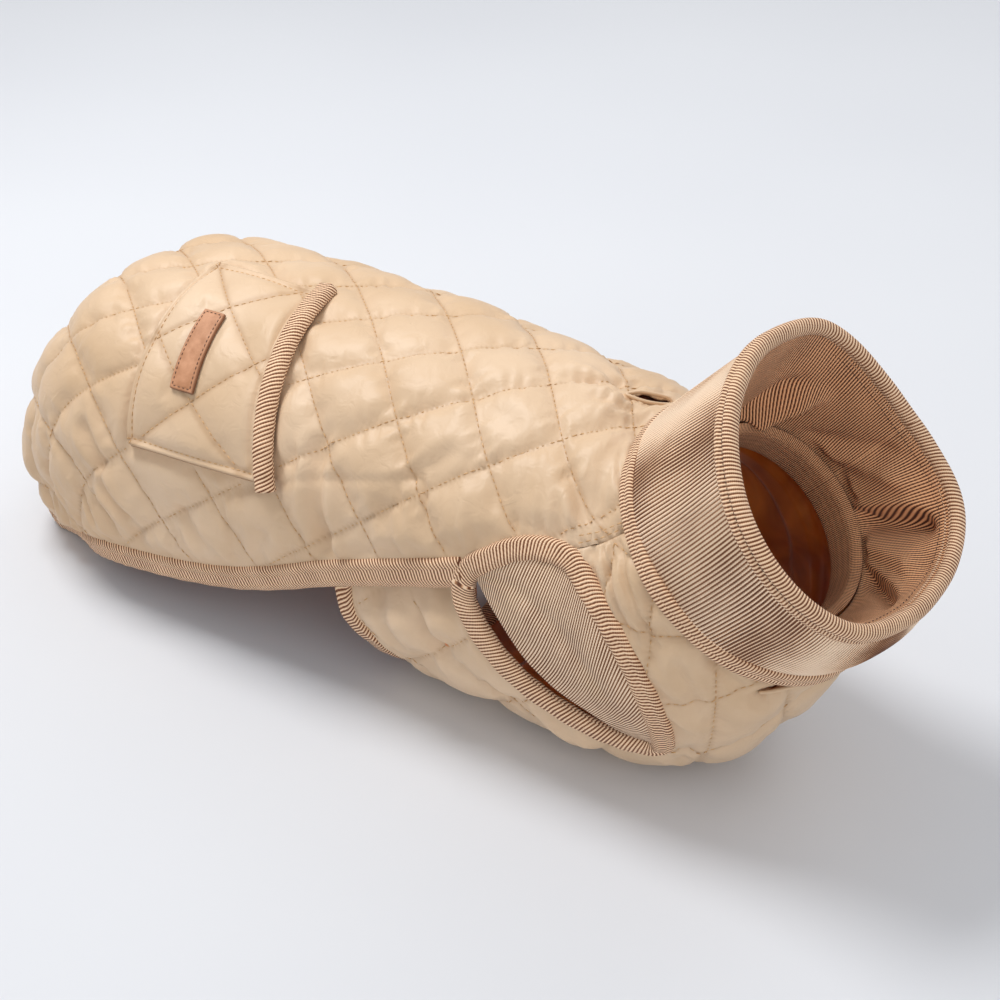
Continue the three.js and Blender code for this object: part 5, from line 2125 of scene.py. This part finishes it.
    def neck(self) -> bpy.types.Object:
        """Builds the inner neck band that holds the lining.

        Returns:
            The piece.
        """
        def section(angle: Array, g: Array) -> tuple[Array, Array]:
            """Gives the neck band's section, its lower part narrower.

            Args:
                angle: Angles in radians.
                g: Shares across.

            Returns:
                Radii and distances along the axis.
            """
            turn = 2 * np.pi * g
            c, s = np.cos(turn), np.sin(turn)
            along = -7.0 + 9.5 * np.sign(s) * np.abs(s) ** 0.6
            return 45.6 + 1.5 * np.sign(c) * np.abs(c) ** 0.8 + 2.2 * smooth((along + 1) / 4), along

        return self.band("neck_rib", "neck_ring", self.funnel_rings[0], section, Finish.INSIDE,
                         "inner_knit")


@dataclass
class Lining:
    """The satin lining inside the breast and neck, with soft pulls."""

    form: BodyForm

    def inward(self, points: Array) -> Array:
        """Points to the line through the middle of the body."""
        return -outward_from_body(points)

    def build(self) -> bpy.types.Object:
        """Builds the lining from the leg openings to the neck, cut out where they gape.

        Returns:
            The piece.
        """
        mesh, f, g = bare_grid("lining_cloth", 120, 240)
        u, deg = mix(6.9, 10.95, f), mix(-180.0, 180.0, g)
        gaps = [Outline(Gusset(self.form, side).gap()) for side in (RIGHT_SIDE, LEFT_SIDE)]

        def probe() -> tuple[Array, Array]:
            """Measures how far each place lies from the openings."""
            (near_r, at_r), (near_l, at_l) = (gap.probe(u, deg) for gap in gaps)
            return -np.maximum(near_r, near_l), np.where((near_r > near_l)[:, None], at_r, at_l)

        away, _ = probe()
        left, rim = trimmed(mesh, away > -0.8)
        u, deg = u[left], deg[left]
        away, near = probe()
        edge = rim & (np.abs(away) < 4)
        u[edge], deg[edge] = near[edge, 0], near[edge, 1]
        beside = np.min([np.abs(Outline(leg_line(side)).probe(u, deg)[0])
                         for side in (RIGHT_SIDE, LEFT_SIDE)], axis=0)
        turn = np.radians(deg)
        pulls = waver(4 * np.cos(turn) + u, 4 * np.sin(turn) + 1.2 * u, 3.0)
        lift = chest_dip(u, deg) - WALL - 2.1 - 0.8 * pulls
        lift -= 2.6 * (1 - smooth((beside - 9) / 12))
        put(mesh, self.form.lifted(u, deg, lift), np.stack([u * STATION, deg * DEGREE], 1))
        merged(mesh)
        face_away(mesh, self.inward)
        return finish_piece(mesh, [Finish.LINING], ["lining"], 0.8)


@dataclass(frozen=True)
class BoundSlit:
    """A slit in a panel with a thin satin welt round it, from one place to another."""

    name: str
    start: tuple[float, float]
    end: tuple[float, float]
    half: float
    far: float = 3.4

    def axes(self) -> tuple[Array, Array, Array, float]:
        """Measures the slit on the flat cloth.

        Returns:
            Its middle, the directions along and across it, and half its length.
        """
        a = np.array(self.start) * (STATION, DEGREE)
        b = np.array(self.end) * (STATION, DEGREE)
        way = (b - a) / np.linalg.norm(b - a)
        return (a + b) / 2, way, np.array([-way[1], way[0]]), np.linalg.norm(b - a) / 2

    def line(self, grow: float = 0.0) -> Array:
        """Gives the slit's edge as places on the cloth.

        Args:
            grow: Millimetres added all round.

        Returns:
            Places as station and degrees.
        """
        middle, way, aside, reach = self.axes()
        angle = np.linspace(0, 2 * np.pi, 96, endpoint=False)[:, None]
        long, wide = reach + grow, self.half + grow
        flat = middle + way * long * np.cos(angle) + aside * wide * np.sin(angle)
        return flat / (STATION, DEGREE)

    def banks(self, u: Array, deg: Array) -> Array:
        """Gives the height of the slit's pulled-up far bank and its low near bank.

        Args:
            u: Stations.
            deg: Degrees from the spine.

        Returns:
            Heights in millimetres.
        """
        middle, way, over, reach = self.axes()
        flat = np.stack([u * STATION, deg * DEGREE], 1) - middle
        along = np.abs(flat @ way) / (reach + 9)
        aside = flat @ over
        fade = smooth((1 - along) / 0.5)
        return fade * (self.far * np.exp(-((aside - 4) / 4.5) ** 2)
                       - 1.0 * np.exp(-((aside + 5) / 4) ** 2))

    def build(self, form: BodyForm) -> bpy.types.Object:
        """Builds the slit's welt: a thin roll round the cut.

        Args:
            form: The body.

        Returns:
            The piece.
        """
        welt = Band(self.name, "", self.line(0.3), 1, 0, 1, 0, 1, closed=True)
        points, normals, aside = welt.frame(form)

        def place(f: Array, g: Array) -> tuple[Array, Array]:
            """Wraps the welt round the slit.

            Args:
                f: Shares along.
                g: Shares across.

            Returns:
                Points and cloth map, in millimetres.
            """
            k = (f * len(points)).astype(int) % len(points)
            turned = 2 * np.pi * g
            out = points[k] + aside[k] * (0.8 * np.cos(turned))[:, None]
            cloth = np.stack([f * 46, g * 6], 1)
            bank = self.banks(welt.line[:, 0], welt.line[:, 1])[k]
            return out + normals[k] * (bank + 0.5 + 0.9 * np.sin(turned))[:, None], cloth

        mesh = bar_mesh(self.name, 96, 10, place, closed=True)
        return finish_piece(mesh, [Finish.SATIN])


LEAD_SLIT = BoundSlit("lead_slit_welt", (7.93, 6.7), (9.02, 16.1), 2.1)
CHEST_SLIT = BoundSlit("chest_slit_welt", (9.84, 219), (10.0, 202), 3.2)


@dataclass
class Studio:
    """The floor, the soft lights and the camera."""

    azimuth: float = 38.0
    elevation: float = 33.0
    distance: float = 0.990
    lens: float = 71.28
    target: tuple[float, float, float] = (311.0, 0.0, 89.0)
    aim: tuple[float, float, float] = (0.0, 0.0, 0.08)
    sky: str = "#f3f4f6"
    sky_strength: float = 0.6

    def floor(self) -> bpy.types.Object:
        """Builds a wide sheet of paper that bends up behind the coat.

        Returns:
            The paper.
        """
        mesh, f, g = bare_grid("paper", 60, 4)
        turn = math.radians(self.azimuth)
        back = np.array([-math.sin(turn), math.cos(turn)])
        side = np.array([back[1], -back[0]])
        way = mix(-4.0, 6.0, f)
        start, bend = 2.6, 1.6
        angle = np.clip((way - start) / bend, 0, math.pi / 2)
        past = np.maximum(way - start - bend * math.pi / 2, 0)
        flat = np.where(way < start, way, start + bend * np.sin(angle))
        high = np.where(way < start, 0, bend * (1 - np.cos(angle))) + past
        across = mix(-5.0, 5.0, g)
        points = np.stack([flat * back[0] + across * side[0],
                           flat * back[1] + across * side[1], high - 0.0004], 1)
        mesh.vertices.foreach_set("co", points.astype(np.float32).ravel())
        mesh.update()
        face_away(mesh, lambda p: np.array([0, 0, 3.0]) - p)
        paper = bpy.data.objects.new("paper", mesh)
        bpy.context.scene.collection.objects.link(paper)
        mesh.materials.append(StudioPaper().material())
        mesh.polygons.foreach_set("use_smooth", np.ones(len(mesh.polygons), bool))
        return paper

    def light(self, name: str, place: Sequence[float], size: float, power: float) -> None:
        """Hangs one soft box that faces the coat.

        Args:
            name: The light's name.
            place: Where it hangs, in metres.
            size: Its width, in metres.
            power: Its power, in watts.
        """
        lamp = bpy.data.lights.new(name, "AREA")
        lamp.shape = "DISK"
        lamp.size = size
        lamp.energy = power
        holder = bpy.data.objects.new(name, lamp)
        holder.location = place
        aim = Vector(self.aim) - Vector(place)
        holder.rotation_euler = aim.to_track_quat("-Z", "Y").to_euler()
        bpy.context.scene.collection.objects.link(holder)

    def camera(self) -> None:
        """Sets the camera at the photograph's angle."""
        a, e = math.radians(self.azimuth), math.radians(self.elevation)
        back = Vector((math.sin(a) * math.cos(e), -math.cos(a) * math.cos(e), math.sin(e)))
        target = Vector(to_row(np.array(self.target)))
        data = bpy.data.cameras.new("camera")
        data.lens, data.sensor_width = self.lens, 36.0
        camera = bpy.data.objects.new("camera", data)
        camera.location = target + back * self.distance
        camera.rotation_euler = (-back).to_track_quat("-Z", "Y").to_euler()
        bpy.context.scene.collection.objects.link(camera)
        bpy.context.scene.camera = camera

    def build(self) -> None:
        """Sets up the whole studio."""
        scene = bpy.context.scene
        scene.view_settings.view_transform = "Standard"
        world = bpy.data.worlds.new("studio")
        world.use_nodes = True
        background = world.node_tree.nodes["Background"]
        background.inputs["Color"].default_value = linear(self.sky)
        background.inputs["Strength"].default_value = self.sky_strength
        scene.world = world
        self.floor()
        self.light("key", (-0.6, -0.1, 1.35), 0.6, 13.5)
        self.light("fill", (1.3, -0.9, 0.9), 1.2, 5.0)
        self.light("rim_light", (0.1, 1.4, 1.2), 1.2, 5.0)
        self.camera()


@dataclass(frozen=True)
class Cut:
    """How a piece of cloth was cut, in metres, and how it is held."""

    piece: str
    width: float
    length: float
    held: str
    rests_on: tuple[str, ...]


def main() -> None:
    """Builds the coat round the frame and reports each piece."""
    logging.basicConfig(level=logging.INFO, format="%(message)s")
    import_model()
    form = BodyForm()
    quilting = Stitching("quilting_stitches", Finish.QUILT_THREAD)
    edges = Stitching("binding_stitches", Finish.KNIT_THREAD, length=1.5, pitch=2.6, radius=0.24)
    leather = Stitching("label_stitches", Finish.KNIT_THREAD, length=1.6, pitch=2.4, radius=0.22)
    pocket = Pocket(form)
    collar = Collar()
    BackPanel(form).build(quilting, "back_panel")
    ChestPanel(form).build(quilting, "chest_panel")
    pocket.panel()
    pocket.sew(quilting)
    Bindings(form).build(edges)
    for side in (RIGHT_SIDE, LEFT_SIDE):
        Gusset(form, side).build()
    pocket.roll(edges)
    pocket.label(leather)
    collar.cuff()
    collar.funnel()
    collar.rim(edges)
    collar.hem(edges)
    collar.neck()
    Lining(form).build()
    LEAD_SLIT.build(form)
    CHEST_SLIT.build(form)
    for stitches, slot in ((quilting, "quilted_satin"), (edges, "rib_knit"),
                           (leather, "leather_label")):
        stitches.build(slot)
    Studio().build()


if __name__ == "__main__":
    main()
